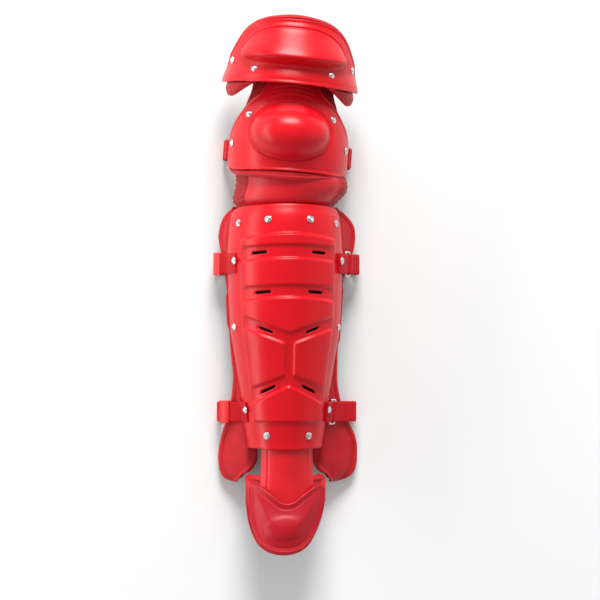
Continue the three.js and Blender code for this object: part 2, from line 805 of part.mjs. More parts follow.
// A slide buckle: a plate with one long window that the webbing runs through
function slideBuckle() {
  const room = webbing / 2 + webbingGap;
  const window = webbingWidth / 2 + webbingGap;
  const rectangle = (path, x, y) => {
    path.moveTo(-x, -y).lineTo(x, -y);
    return path.lineTo(x, y).lineTo(-x, y).closePath();
  };
  const outline = rectangle(new THREE.Shape(), room + buckleWall, window + 2 * buckleWall);
  outline.holes.push(rectangle(new THREE.Path(), room, window));
  const geometry = new THREE.ExtrudeGeometry(outline, { depth: buckleLength, bevelEnabled: false });
  return geometry.translate(0, 0, -buckleLength / 2);
}

// A domed rivet head on a surface point, its face along the given direction
function rivet(name, point, outward) {
  const radius = rivetWidth / 2;
  const profile = [
    [0, 0],
    [radius, 0],
    [radius * 0.7, rivetHeight * 0.75],
    [0, rivetHeight],
  ].map(([x, y]) => new THREE.Vector2(x, y));
  const mesh = named(name, new THREE.LatheGeometry(profile, 8), chrome);
  mesh.position.copy(point).addScaledVector(outward, rivetGap);
  mesh.quaternion.setFromUnitVectors(new THREE.Vector3(0, 1, 0), outward);
  return mesh;
}

// Outward direction of a surface given as a function of distance round the leg and along it
function outwardAt(place, round, y) {
  const step = 0.5;
  const across = place(round + step, y, 0).sub(place(round - step, y, 0));
  const up = place(round, y + step, 0).sub(place(round, y - step, 0));
  return across.cross(up).normalize();
}

const guard = new THREE.Group();

// Shin shell with its padding, wings and rivets
guard.add(named("shin_shell", shinShell(), shellRed));
guard.add(named("shin_pad", shinPad(), padRed));
guard.add(named("wing_left", wing(-1), padRed));
guard.add(named("wing_right", wing(1), padRed));

// Strap rows: place along the shin shell by share of its length, and angle of the rivet that holds it
const calfStraps = { upper: [0.762, 62], lower: [0.152, 66] };

// Rivets: angle from the front, and place along the shin shell or above and below a cap's middle, by share of its length
const shinRivets = [
  ["top_outer", 59.5, 0.925],
  ["top_inner", 22, 0.938],
  ["middle", 70, 0.502],
  ["bottom", 31.5, 0.057],
];
const kneeRivets = [
  ["upper", 48, 0.3],
  ["lower", 71, -0.33],
];
const thighRivets = [
  ["outer", 69, -0.4],
  ["inner", 36, -0.7],
];
const capSpots = (rows, above, below) => rows.map(([spot, angle, share]) => {
  return [spot, angle, share * (share < 0 ? below : above)];
});
const shinSurface = (round, y, lift) => {
  return shinPoint(THREE.MathUtils.radToDeg(round / shinHalfWidth), y / shinLength, -lift);
};
const sides = { left: -1, right: 1 };

// Rivets in pairs, each spot with its angle from the front and its place along the guard
function addRivets(parent, prefix, place, half, spots, lift = { left: 0, right: 0 }) {
  for (const [spot, angle, y] of spots) {
    for (const [sideName, side] of Object.entries(sides)) {
      const round = side * radians(angle) * half;
      const point = place(round, y, lift[sideName]);
      parent.add(rivet(`${prefix}_rivet_${spot}_${sideName}`, point, outwardAt(place, round, y)));
    }
  }
}

const shinSpots = shinRivets.map(([spot, angle, share]) => [spot, angle, share * shinLength]);
addRivets(guard, "shin", shinSurface, shinHalfWidth, shinSpots);
const strapSpots = Object.entries(calfStraps).map(([spot, [share, angle]]) => {
  return [spot, angle, share * shinLength + tabRivetRise];
});
const strapLayers = { left: webbingGap + webbing, right: 2 * (webbingGap + webbing) };
addRivets(guard, "strap", shinSurface, shinHalfWidth, strapSpots, strapLayers);

const strapHalf = webbingWidth / 2 / shinLength;

// The way of a calf strap's edge on one side: points of the surfaces that it follows, from its upper end down
function strapTrack(share, edge, rivetAngle, side) {
  const points = [];
  const steps = 6;
  for (let step = 0; step <= steps; step++) {
    points.push(shinPoint(side * lerp(rivetAngle - strapLead, edgeAngle, step / steps), share + edge, 0));
  }
  const crossings = [share - strapHalf, share, share + strapHalf].map((place) => wingAt(place, side));
  const heightAt = (x) => Math.max(...crossings.map((crossing) => crossing.heightAt(x)));
  const tip = Math.max(...crossings.map((crossing) => crossing.tip));
  const bend = crossings[1].bend;
  const lowest = webbing + webbingGap;
  const slope = new THREE.Vector2(tip - bend, heightAt(tip) - heightAt(bend)).setLength(strapSlack);
  const [out, under] = [tip + slope.x, heightAt(tip) + slope.y];
  const way = [
    [bend + 1.5, heightAt(bend) + webbingGap],
    [tip, heightAt(tip) + webbingGap],
    [out, under + webbingGap],
    [out + strapSlack * 0.1, lerp(under, lowest, 0.55)],
    [out - strapSlack * 0.3, lerp(under, lowest, 0.86)],
    [out - strapSlack * 1.2, lowest],
  ];
  const y = shinLength * (share + edge);
  points.push(...way.map(([x, z]) => new THREE.Vector3(side * x, y, z)));
  return points;
}

// Distance from the rivet of each point of a track
function trackLengths(track) {
  const lengths = [-radians(strapLead) * Math.hypot(track[0].x, track[0].z - edgeHeight)];
  track.slice(1).forEach((point, index) => lengths.push(lengths[index] + point.distanceTo(track[index])));
  return lengths;
}

// Points beside a track: each stop is a distance along it from the rivet and a height above it
function beside(track, stops, side) {
  const lengths = trackLengths(track);
  const outward = track.map((_, index) => {
    const way = track[Math.min(index + 1, track.length - 1)].clone().sub(track[Math.max(index - 1, 0)]);
    return new THREE.Vector3(-way.z, 0, way.x).normalize().multiplyScalar(side);
  });
  return stops.map(([distance, height]) => {
    const found = lengths.findIndex((length) => length > distance);
    const index = found < 1 ? track.length - 1 : found;
    const part = clamp((distance - lengths[index - 1]) / (lengths[index] - lengths[index - 1]), 0, 1);
    const square = outward[index - 1].clone().lerp(outward[index], part).normalize();
    return track[index - 1].clone().lerp(track[index], part).addScaledVector(square, height);
  });
}

const layer = webbingGap + webbing / 2; // middle of webbing that lies on a surface
const barRoom = wire / 2 + webbingGap + webbing / 2; // middle of webbing that rounds a bar
const upperLayer = layer + webbing + webbingGap;

// Webbing that comes along a track from one side, rounds a bar and folds back over itself
function foldedPath(track, start, bar, end, side) {
  const way = Math.sign(bar - start);
  const count = Math.ceil(Math.abs(bar - start) / 6);
  const coming = Array.from({ length: count }, (_, step) => [lerp(start, bar, step / count), layer]);
  const [foot, centre, ahead] = beside(track, [[bar, 0], [bar, layer + barRoom], [bar + way, 0]], side);
  const up = centre.clone().sub(foot).normalize();
  const forward = ahead.sub(foot);
  forward.addScaledVector(up, -forward.dot(up)).normalize();
  const loop = [-90, -45, 0, 45, 90].map((degrees) => {
    const turn = radians(degrees);
    const point = centre.clone().addScaledVector(forward, barRoom * Math.cos(turn));
    return point.addScaledVector(up, barRoom * Math.sin(turn));
  });
  const settled = bar - way * 3.3 * barRoom;
  const half = [lerp(bar, settled, 0.55), lerp(layer + 2 * barRoom, upperLayer, 0.55)];
  const leaving = [half];
  for (let step = 0; step <= 3; step++) leaving.push([lerp(settled, end, step / 3), upperLayer]);
  return [...beside(track, coming, side), ...loop, ...beside(track, leaving, side)];
}

for (const [name, [share, angle]] of Object.entries(calfStraps)) {
  const toShellEdge = radians(edgeAngle - angle) * shinWidthAt(share);
  const trackEnd = (side) => {
    const ends = [-strapHalf, strapHalf].map((edge) => trackLengths(strapTrack(share, edge, angle, side)).at(-1));
    return Math.min(...ends) - seam;
  };
  const alongTrack = (side, stops) => [-strapHalf, strapHalf].map((edge) => {
    return beside(strapTrack(share, edge, angle, side), stops, side);
  });
  const folded = (start, bar, end) => [-strapHalf, strapHalf].map((edge) => {
    return foldedPath(strapTrack(share, edge, angle, 1), start, bar, end, 1);
  });

  // Left: from the rivet through the slide buckle and down to the surface
  const wingReach = wingAt(share, -1);
  const wingDrop = wingReach.heightAt(wingReach.bend) - wingReach.heightAt(wingReach.tip);
  const toTip = toShellEdge + Math.hypot(wingReach.tip - wingReach.bend, wingDrop);
  const leftStops = [-1, 0, 1, 2, 3].map((step) => [step * tabTail, layer]);
  leftStops.push([toShellEdge, layer]);
  const raised = layer + webbingGap + buckleWall;
  const buckleMiddle = toTip - 1;
  const buckleEnds = [-1, 1].map((end) => buckleMiddle + (end * buckleLength) / 2);
  leftStops.push([buckleEnds[0] - 1, raised], [buckleEnds[1] + 1, raised]);
  for (const part of [0.15, 0.3, 0.45, 0.6, 0.8, 1]) {
    leftStops.push([lerp(buckleEnds[1] + 1, trackEnd(-1), part), layer]);
  }
  const left = alongTrack(-1, leftStops);

  // Right: an anchor tab from the rivet to a wire ring, and the strap folded round the ring's other bar
  const nearBar = toShellEdge - ringTuck;
  const farBar = nearBar + ringReach;
  const tab = folded(-tabTail, nearBar, -tabTail);
  guard.add(named(`anchor_tab_${name}`, band(tab), webbingRed));
  const right = folded(trackEnd(1), farBar, farBar + foldLength);
  const lying = (point, side) => new THREE.Vector3(point.x - side * 2 * strapSlack, point.y, webbing / 2);
  const loop = left.map((path, index) => {
    const [leftEnd, rightEnd] = [path.at(-1), right[index][0]];
    return [...path, lying(leftEnd, -1), lying(rightEnd, 1), ...right[index]];
  });
  guard.add(named(`calf_strap_${name}`, band(loop), webbingRed));

  const barStops = [nearBar, farBar].map((distance) => [distance, layer + barRoom]);
  const [lows, highs] = alongTrack(1, barStops);
  const ring = wireRing([lows[0], highs[0]], [lows[1], highs[1]]);
  guard.add(named(`wire_ring_${name}`, ring, chrome));

  const ends = buckleEnds.map((distance) => [distance, raised]);
  const [top, bottom] = beside(strapTrack(share, 0, angle, -1), ends, -1);
  const buckle = named(`slide_buckle_${name}`, slideBuckle(), buckleRed);
  const way = bottom.clone().sub(top).normalize();
  const width = new THREE.Vector3(0, 1, 0);
  buckle.position.copy(top).lerp(bottom, 0.5);
  buckle.quaternion.setFromRotationMatrix(new THREE.Matrix4().makeBasis(width.clone().cross(way), width, way));
  guard.add(buckle);
}

// Knee cap
const knee = new THREE.Group();
const kneePivot = new THREE.Vector3(kneeShift, kneeMiddle, 0);
knee.position.copy(kneePivot);
knee.rotation.set(0, radians(kneeYaw), radians(kneeRoll), "ZYX");
knee.add(named("knee_shell", kneeShell(), shellRed));
knee.add(named("knee_pad", kneePad(), padRed));
addRivets(knee, "knee", kneePoint, kneeHalfWidth, capSpots(kneeRivets, kneeAbove, kneeBelow));
guard.add(knee);

// Knee strap: from under the edge of the knee padding, down and along the surface that the guard lies on
function kneeStrapSide(side, shift) {
  knee.updateMatrix();
  const y = kneeStrapPlace * kneeBelow + shift;
  const hung = [
    [0, 0],
    [0.5, 0.1],
    [1, 0.21],
  ].map(([part, out]) => {
    const x = kneeHalfWidth + layer + out * kneeStrapHang;
    return new THREE.Vector3(side * x, y, edgeHeight - part * kneeStrapHang).applyMatrix4(knee.matrix);
  });
  const last = hung[hung.length - 1];
  const lying = [
    [0, 0.35],
    [0.33, 0.08],
    [1, 0],
  ].map(([inward, part]) => {
    const x = last.x - side * inward * kneeStrapTurn;
    return new THREE.Vector3(x, last.y, lerp(webbing / 2, last.z, part));
  });
  return [...hung, ...lying];
}
const kneeStrapEdges = [-0.5, 0.5].map((part) => {
  const right = kneeStrapSide(1, part * webbingWidth).reverse();
  return [...kneeStrapSide(-1, part * webbingWidth), ...right];
});
guard.add(named("knee_strap", band(kneeStrapEdges), webbingRed));

// Cap straps: webbing from the shoulders of the knee cap up behind the thigh cap
const capStrapEnd = kneeAbove + thighTuck + capStrapHidden;
const capFaces = [thighHalfWidth * along(thighOutline, -1), kneeHalfWidth * along(kneeOutline, 1)];
const capStrapRise = capFaces[0] - capFaces[1] - capStrapSunk;

function kneeShoulder(angle) {
  const round = radians(angle) * kneeHalfWidth;
  let y = 0;
  let past = -1;
  while (past < kneeLip + seam) {
    y += 0.5;
    const away = Math.hypot(round, y);
    past = away - reachTo(insideKnee, [round / away, y / away]);
  }
  return y;
}

function capStrap(side) {
  const ends = side < 0 ? capStrapAngles.map((angle) => -angle).reverse() : capStrapAngles;
  const place = (across, up, inset) => {
    const angle = lerp(...ends, across);
    const start = kneeShoulder(Math.abs(angle));
    const lift = webbingGap + webbing - padInset + capStrapRise * up * up;
    return kneePoint(radians(angle) * kneeHalfWidth, lerp(start, capStrapEnd, up), lift - inset);
  };
  return archedWall({ rows: 4, columns: 4, place, wall: webbing });
}
knee.add(named("cap_strap_left", capStrap(-1), webbingRed));
knee.add(named("cap_strap_right", capStrap(1), webbingRed));

guard.add(named("knee_panel", kneePanel(), vinylRed));
guard.add(named("knee_gusset_left", kneeGusset(-1), webbingRed));
guard.add(named("knee_gusset_right", kneeGusset(1), webbingRed));

// Thigh cap
const thigh = new THREE.Group();
thigh.position.set(thighShift, thighMiddle, 0);
thigh.rotation.set(0, radians(thighYaw), radians(thighRoll), "ZYX");
thigh.add(named("thigh_shell", thighShell(), shellRed));
thigh.add(named("thigh_pad", thighPad(), padRed));
addRivets(thigh, "thigh", thighPoint, thighHalfWidth, capSpots(thighRivets, thighAbove, thighBelow));
guard.add(thigh);

// Foot
guard.add(named("ankle_tongue", ankleTongue(), vinylRed));
guard.add(named("foot_pad", footPad(), padRed));
guard.add(named("foot_cap", footCap(), shellRed));

// The origin is under the middle of the whole guard
const box = new THREE.Box3().setFromObject(guard, true);
const middle = box.getCenter(new THREE.Vector3());
guard.position.set(-middle.x, -middle.y, -box.min.z);

const legGuard = new THREE.Group();
legGuard.add(guard);
export default legGuard;
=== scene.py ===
# Looks of the red leg guard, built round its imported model. Lengths are millimetres until a mesh is made.
import math

import bpy
import numpy as np
from mathutils import Matrix, Vector


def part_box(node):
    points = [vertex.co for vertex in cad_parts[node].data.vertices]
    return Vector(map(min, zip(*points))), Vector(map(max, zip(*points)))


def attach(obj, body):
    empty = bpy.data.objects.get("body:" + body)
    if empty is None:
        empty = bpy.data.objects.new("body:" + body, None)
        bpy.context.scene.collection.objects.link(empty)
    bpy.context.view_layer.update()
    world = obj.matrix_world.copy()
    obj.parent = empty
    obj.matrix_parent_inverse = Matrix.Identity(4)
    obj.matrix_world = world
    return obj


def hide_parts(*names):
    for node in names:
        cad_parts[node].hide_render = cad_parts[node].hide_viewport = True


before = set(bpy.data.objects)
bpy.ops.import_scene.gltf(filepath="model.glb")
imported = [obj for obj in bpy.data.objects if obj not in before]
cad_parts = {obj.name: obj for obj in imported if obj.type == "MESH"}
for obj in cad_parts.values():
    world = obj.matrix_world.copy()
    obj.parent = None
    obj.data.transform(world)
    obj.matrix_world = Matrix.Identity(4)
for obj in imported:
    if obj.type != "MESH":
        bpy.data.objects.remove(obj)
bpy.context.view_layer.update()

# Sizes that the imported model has
SHIN_LENGTH = 309
SHIN_HALF_WIDTH = 74
SHIN_RISE = 73
EDGE_HEIGHT = 38
SHELL_WALL = 3
VENT_WIDTH = 3.8
KNEE_HALF_WIDTH = 76.5
KNEE_BELOW = 50.5
KNEE_ABOVE = 66
DOME_HALF_WIDTH = 51
DOME_HALF_LENGTH = 35
DOME_RISE = 25
THIGH_HALF_WIDTH = 81.5
THIGH_BELOW = 41
THIGH_ABOVE = 37.5
BULGE_HALF_WIDTH = 66
BULGE_ABOVE = 33
BULGE_BELOW = 6
BULGE_MIDDLE = -9
BULGE_RISE = 17
BULGE_SAG = 4.5
PAD_WALL = 8
PAD_CLEARANCE = 0.9
CAP_CLEARANCE = 1.6
SEAM = 0.5
CAP_LIP = 6
KNEE_LIP = 3.4
KNEE_APRON = 12
PAD_START = 4
PAD_END = 8
SKIRT_SHOWS = 28
SKIRT_WALL = 3
SKIRT_TUCK = 13
SKIRT_RISE = 0.97
PANEL_ANGLE = 55
GUSSET_PLEATS = 4
THIGH_TUCK = 4
THIGH_FLAP = 21
WING_SPAN = 90
WING_TIP_HEIGHT = 9.5
WING_WALL = 7
TONGUE_WALL = 4
TONGUE_LENGTH = 80
TONGUE_HALF_WIDTH = 36
FOOT_HALF_WIDTH = 52
FOOT_LENGTH = 92
FOOT_START = 41
FOOT_LIP = 2.8
FOOT_DOME = 5
FOOT_SWAY = 5
WEBBING = 1.8
WEBBING_WIDTH = 25
WEBBING_GAP = 0.4
STRAP_SLACK = 8
WIRE = 2.8
RING_REACH = 13
RING_ROUND = 1.0
FOLD_LENGTH = 15
STRAP_LEAD = 10
TAB_TAIL = 7
TAB_END = 1
TAB_RIVET_RISE = 3
RING_TUCK = 5
BUCKLE_LENGTH = 14
BUCKLE_WALL = 1.5
RIVET_WIDTH = 9.4
RIVET_HEIGHT = 2.6
RIVET_GAP = 0.35
KNEE_STRAP_PLACE = -0.46
KNEE_STRAP_HANG = 16
KNEE_STRAP_TURN = 12
CAP_STRAP_ANGLES = (34.5, 61)
CAP_STRAP_SUNK = 19.5
CAP_STRAP_HIDDEN = 12
KNEE_LEAN = {"roll": -4, "yaw": -4, "shift": 8.5}
THIGH_LEAN = {"roll": -5, "yaw": -3, "shift": 12}
KNEE_MIDDLE = SHIN_LENGTH + SKIRT_SHOWS + KNEE_APRON + KNEE_BELOW
THIGH_MIDDLE = KNEE_MIDDLE + KNEE_ABOVE - THIGH_TUCK + THIGH_BELOW

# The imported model's own place: the shin shell's bottom edge is at y = 0, its middle at x = 0
shell_low, shell_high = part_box("shin_shell")
ORIGIN = np.array([(shell_low.x + shell_high.x) / 2, shell_low.y, 0.0])

radians = np.radians


def lerp(start, end, part):
    return start + (end - start) * part


def smooth(start, end, value):
    part = np.clip((value - start) / (end - start), 0, 1)
    return part * part * (3 - 2 * part)


def bump(value, middle, half_width):
    return np.exp(-(((value - middle) / half_width) ** 2))


# Smooth curve through the rows of a table, as a function of the place in its first column
def curve(rows, column=1, soften=0.02):
    places = np.array([row[0] for row in rows], float)
    values = np.array([row[column] for row in rows], float)
    steps = np.diff(values) / np.diff(places)
    slopes = np.zeros(len(rows))
    pairs = steps[:-1] * steps[1:]
    sums = np.where(pairs > 0, steps[:-1] + steps[1:], 1)
    slopes[1:-1] = np.where(pairs > 0, 2 * pairs / sums, 0)
    fine = np.linspace(places[0], places[-1], 801)
    row = np.clip(np.searchsorted(places, fine, side="right") - 1, 0, len(rows) - 2)
    span = places[row + 1] - places[row]
    part = (fine - places[row]) / span
    samples = lerp(values[row], values[row + 1], part * part * (3 - 2 * part))
    samples += slopes[row] * span * part * (1 - part) ** 2
    samples -= slopes[row + 1] * span * part**2 * (1 - part)
    half = int(soften * len(fine))
    if half:
        window = np.hanning(2 * half + 3)[1:-1]
        padded = np.pad(samples, half, mode="reflect", reflect_type="odd")
        samples = np.convolve(padded, window / window.sum(), mode="valid")
    return lambda place: np.interp(place, fine, samples)


# Faces of a grid of points held row by row, without the cells that are open
def grid_faces(rows, columns, is_open=None):
    corner = np.arange((rows - 1) * columns).reshape(rows - 1, columns)[:, :-1]
    faces = np.stack([corner, corner + 1, corner + columns + 1, corner + columns], axis=-1)
    if is_open is not None:
        faces = faces[~is_open]
    return faces.reshape(-1, 4)


# Faces of rings of points round a middle point, which comes first
def ring_faces(rings, segments):
    faces = []
    for segment in range(segments):
        following = (segment + 1) % segments
        faces.append([0, 1 + segment, 1 + following])
        for ring in range(rings - 1):
            near, far = 1 + ring * segments, 1 + (ring + 1) * segments
            faces.append([near + segment, far + segment, far + following, near + following])
    return faces


def square_to(points, faces):
    sums = np.zeros_like(points)
    for count in (3, 4):
        same = np.array([face for face in faces if len(face) == count], int)
        if not len(same):
            continue
        across = points[same[:, 2]] - points[same[:, 0]]
        up = points[same[:, count - 1]] - points[same[:, 1]]
        if count == 3:
            across, up = points[same[:, 1]] - points[same[:, 0]], across
        normal = np.cross(across, up)
        normal /= np.maximum(np.linalg.norm(normal, axis=1, keepdims=True), 1e-9)
        for corner in range(count):
            np.add.at(sums, same[:, corner], normal)
    return sums / np.maximum(np.linalg.norm(sums, axis=1, keepdims=True), 1e-9)


def to_world(points, matrix=None):
    points = np.asarray(points, float)
    if matrix is not None:
        turn = np.array(matrix)
        points = points @ turn[:3, :3].T + turn[:3, 3]
    return points / 1000 + ORIGIN


def new_mesh(name, points, faces, uv=None, matrix=None, materials=(), face_material=None):
    mesh = bpy.data.meshes.new(name)
    mesh.from_pydata(to_world(points, matrix).tolist(), [], [list(map(int, face)) for face in faces])
    mesh.polygons.foreach_set("use_smooth", [True] * len(mesh.polygons))
    for material in materials:
        mesh.materials.append(material)
    if face_material is not None:
        mesh.polygons.foreach_set("material_index", face_material)
    if uv is not None:
        layer = mesh.uv_layers.new(name="cloth")
        corners = np.zeros(len(mesh.loops), int)
        mesh.loops.foreach_get("vertex_index", corners)
        layer.data.foreach_set("uv", (np.asarray(uv, float)[corners] / 1000).ravel())
    mesh.validate()
    thing = bpy.data.objects.new(name, mesh)
    bpy.context.scene.collection.objects.link(thing)
    return thing


# A closed wall between matching front and back points, with a rounded rim round every free edge.
# With a second material, that one covers the back
def wall(name, front, back, faces, materials, rim=0.0, steps=4, uv=None, matrix=None):
    faces = [tuple(map(int, face)) for face in faces]
    count = len(front)
    edges = {(face[k], face[(k + 1) % len(face)]) for face in faces for k in range(len(face))}
    free = [(a, b) for a, b in edges if (b, a) not in edges]
    free.sort()
    outward = np.zeros_like(front)
    depth = front - back
    depth /= np.maximum(np.linalg.norm(depth, axis=1, keepdims=True), 1e-9)
    for a, b in free:
        away = np.cross(front[b] - front[a], depth[a])
        away /= max(np.linalg.norm(away), 1e-9)
        outward[a] += away
        outward[b] += away
    on_rim = sorted({index for edge in free for index in edge})
    at = {index: order for order, index in enumerate(on_rim)}
    away = outward[on_rim]
    away /= np.maximum(np.linalg.norm(away, axis=1, keepdims=True), 1e-9)
    middle = (front[on_rim] + back[on_rim]) / 2
    rings = []
    for step in range(1, steps):
        turn = math.pi * step / steps
        half = (front[on_rim] - middle) * math.cos(turn)
        rings.append(middle + half + away * rim * math.sin(turn))
    points = np.concatenate([front, back, *rings])
    all_faces = list(faces)
    kinds = [0] * len(faces)
    all_faces += [tuple(index + count for index in reversed(face)) for face in faces]
    kinds += [len(materials) - 1] * len(faces)

    def layer_index(index, step):
        if step == 0:
            return index
        if step == steps:
            return index + count
        return 2 * count + (step - 1) * len(on_rim) + at[index]

    for step in range(steps):
        for a, b in free:
            all_faces.append(
                (
                    layer_index(b, step),
                    layer_index(a, step),
                    layer_index(a, step + 1),
                    layer_index(b, step + 1),
                )
            )
            kinds.append(len(materials) - 1 if step >= steps / 2 + 1 else 0)
    if uv is not None:
        uv = np.asarray(uv, float)
        uv = np.concatenate([uv, uv] + [uv[on_rim]] * len(rings))
    return new_mesh(name, points, all_faces, uv, matrix, materials, kinds)


def arch(half_width, rise, angle, y, inset):
    turn = np.clip(angle, -90, 90)
    past = radians(np.abs(angle) - np.abs(turn)) * half_width
    x = (half_width - inset) * np.sin(radians(turn))
    z = EDGE_HEIGHT + (rise - inset) * np.cos(radians(turn)) - past
    return np.stack(np.broadcast_arrays(x, y, z), axis=-1)


# A wall that follows an arched surface: rows along the guard, columns across it
def arched_wall(name, rows, columns, place, thickness, materials, rim, lift=None, uv=None, matrix=None):
    up, across = np.meshgrid(np.linspace(0, 1, rows + 1), np.linspace(0, 1, columns + 1), indexing="ij")
    raised = lift(across, up) if lift else np.zeros_like(up)
    front = place(across, up, -raised).reshape(-1, 3)
    back = place(across, up, thickness - raised * 0.3).reshape(-1, 3)
    faces = grid_faces(rows + 1, columns + 1)
    if uv is None:
        uv = np.stack([across * 100, up * 100], axis=-1)
    return wall(name, front, back, faces, materials, rim, uv=uv.reshape(-1, 2), matrix=matrix)


def show(thing, nodes):
    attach(thing, "root")
    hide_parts(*nodes)
    return thing


# Materials
def node_material(name, color, roughness, **sockets):
    material = bpy.data.materials.new(name)
    material.use_nodes = True
    shader = material.node_tree.nodes["Principled BSDF"]
    shader.inputs["Base Color"].default_value = (*color, 1)
    shader.inputs["Roughness"].default_value = roughness
    for socket, value in sockets.items():
        shader.inputs[socket.replace("_", " ")].default_value = value
    return material, shader


class Nodes:
    """Short calls that add and join nodes of one material."""

    def __init__(self, material):
        self.tree = material.node_tree

    def add(self, kind, **values):
        node = self.tree.nodes.new(kind)
        for key, value in values.items():
            if hasattr(node, key):
                setattr(node, key, value)
            else:
                node.inputs[key.replace("_", " ")].default_value = value
        return node

    def join(self, source, target):
        self.tree.links.new(source, target)

    def math(self, operation, first, second=None, third=None):
        node = self.add("ShaderNodeMath", operation=operation)
        for index, value in enumerate((first, second, third)):
            if value is None:
                continue
            if isinstance(value, (int, float)):
                node.inputs[index].default_value = value
            else:
                self.join(value, node.inputs[index])
        return node.outputs[0]

    def noise(self, vector, scale, detail=3.0):
        node = self.add("ShaderNodeTexNoise", Scale=scale, Detail=detail)
        self.join(vector, node.inputs["Vector"])
        return node.outputs["Fac"]

    def between(self, factor, low, high):
        node = self.add("ShaderNodeMapRange")
        self.join(factor, node.inputs["Value"])
        node.inputs["From Min"].default_value = 0.3
        node.inputs["From Max"].default_value = 0.7
        node.inputs["To Min"].default_value = low
        node.inputs["To Max"].default_value = high
        return node.outputs["Result"]

    def shade(self, factor, dark, light, shader):
        node = self.add("ShaderNodeMix", data_type="RGBA")
        self.join(factor, node.inputs[0])
        node.inputs[6].default_value = (*dark, 1)
        node.inputs[7].default_value = (*light, 1)
        self.join(node.outputs[2], shader.inputs["Base Color"])

    def relief(self, height, depth, shader, strength=1.0):
        node = self.add("ShaderNodeBump", Strength=strength, Distance=depth)
        self.join(height, node.inputs["Height"])
        self.join(node.outputs["Normal"], shader.inputs["Normal"])
        return node


def scaled(color, share):
    return tuple(channel * share for channel in color)


# Moulded plastic: glossy, with a faint waviness, dust-fine grain and a slight change of colour
def plastic(name, color, roughness=0.27, wave=0.00006):
    material, shader = node_material(name, color, roughness, Specular_IOR_Level=0.32)
    nodes = Nodes(material)
    place = nodes.add("ShaderNodeTexCoord").outputs["Object"]
    cloud = nodes.noise(place, 14, 4)
    nodes.shade(nodes.between(cloud, 0, 1), scaled(color, 0.93), color, shader)
    grain = nodes.noise(place, 900, 2)
    both = nodes.math("MULTIPLY_ADD", grain, 0.22, cloud)
    nodes.join(nodes.between(both, roughness * 0.85, roughness * 1.3), shader.inputs["Roughness"])
    peel = nodes.noise(place, 160, 2)
    nodes.relief(peel, wave, shader)
    return material


# Cloth: plain weave of crossing threads in the piece's own flat pattern, over a soft puckering. The colour is
# painted darker in the gaps between threads and in the pucker's hollows, as painted shade
def cloth(name, color, thread, roughness=0.8, depth=0.00025, sheen=0.25):
    material, shader = node_material(name, color, roughness, Specular_IOR_Level=0.3)
    shader.inputs["Sheen Weight"].default_value = sheen
    shader.inputs["Sheen Roughness"].default_value = 0.45
    shader.inputs["Sheen Tint"].default_value = (1, 0.5, 0.5, 1)
    nodes = Nodes(material)
    flat = nodes.add("ShaderNodeTexCoord").outputs["UV"]
    split = nodes.add("ShaderNodeSeparateXYZ")
    nodes.join(flat, split.inputs[0])
    turns = [
        nodes.math("SINE", nodes.math("MULTIPLY", split.outputs[axis], 2 * math.pi / thread))
        for axis in range(2)
    ]
    weave = nodes.math("MULTIPLY", turns[0], turns[1])
    crossed = nodes.math("ABSOLUTE", weave)
    pucker = nodes.noise(nodes.add("ShaderNodeTexCoord").outputs["Object"], 90, 3)
    # painted shade: the base colour darkens towards 0.72 of itself in the gaps of the weave and the hollows of the
    # puckering
    nodes.shade(nodes.math("MULTIPLY_ADD", crossed, 0.55, nodes.between(pucker, 0, 0.45)), scaled(color, 0.72), color, shader)
    height = nodes.math("MULTIPLY_ADD", pucker, 0.6, crossed)
    nodes.relief(height, depth, shader)
    return material


# Webbing: ribs along the strap, crossed by fine threads, with painted shade in the grooves between them
def woven(name, color):
    material, shader = node_material(name, color, 0.7, Specular_IOR_Level=0.2)
    shader.inputs["Sheen Weight"].default_value = 0.06
    shader.inputs["Sheen Roughness"].default_value = 0.4
    shader.inputs["Sheen Tint"].default_value = (1, 0.5, 0.5, 1)
    nodes = Nodes(material)
    flat = nodes.add("ShaderNodeTexCoord").outputs["UV"]
    split = nodes.add("ShaderNodeSeparateXYZ")
    nodes.join(flat, split.inputs[0])
    rib = nodes.math("SINE", nodes.math("MULTIPLY", split.outputs[1], 2 * math.pi / 0.0031))
    slant = nodes.math("MULTIPLY_ADD", nodes.math("ABSOLUTE", rib), 0.0007, split.outputs[0])
    pick = nodes.math("ABSOLUTE", nodes.math("SINE", nodes.math("MULTIPLY", slant, math.pi / 0.0013)))
    height = nodes.math("MULTIPLY_ADD", nodes.math("ABSOLUTE", rib), 0.8, nodes.math("MULTIPLY", pick, 0.5))
    # painted shade: the base colour darkens to half in the low parts of the ribs and threads
    nodes.shade(nodes.math("MULTIPLY", height, 0.75), scaled(color, 0.5), color, shader)
    nodes.relief(height, 0.0004, shader)
    return material


# Soft vinyl: a fine leather grain and a low, broad gloss
def vinyl(name, color, roughness=0.42):
    material, shader = node_material(name, color, roughness, Specular_IOR_Level=0.45)
    nodes = Nodes(material)
    place = nodes.add("ShaderNodeTexCoord").outputs["Object"]
    cells = nodes.add("ShaderNodeTexVoronoi", Scale=850, feature="DISTANCE_TO_EDGE")
    nodes.join(place, cells.inputs["Vector"])
    grain = nodes.math("MULTIPLY", cells.outputs["Distance"], 1.2)
    cloud = nodes.noise(place, 30, 3)
    nodes.shade(nodes.between(cloud, 0, 1), scaled(color, 0.9), color, shader)
    nodes.join(nodes.between(cloud, roughness * 0.9, roughness * 1.15), shader.inputs["Roughness"])
    nodes.relief(nodes.math("MULTIPLY_ADD", cloud, 1.5, grain), 0.0001, shader)
    return material


def metal(name, color, roughness):
    material, shader = node_material(name, color, roughness, Metallic=1.0)
    nodes = Nodes(material)
    place = nodes.add("ShaderNodeTexCoord").outputs["Object"]
    speck = nodes.noise(place, 700, 3)
    nodes.join(nodes.between(speck, roughness * 0.7, roughness * 1.8), shader.inputs["Roughness"])
    nodes.relief(nodes.noise(place, 420, 2), 0.00002, shader)
    return material


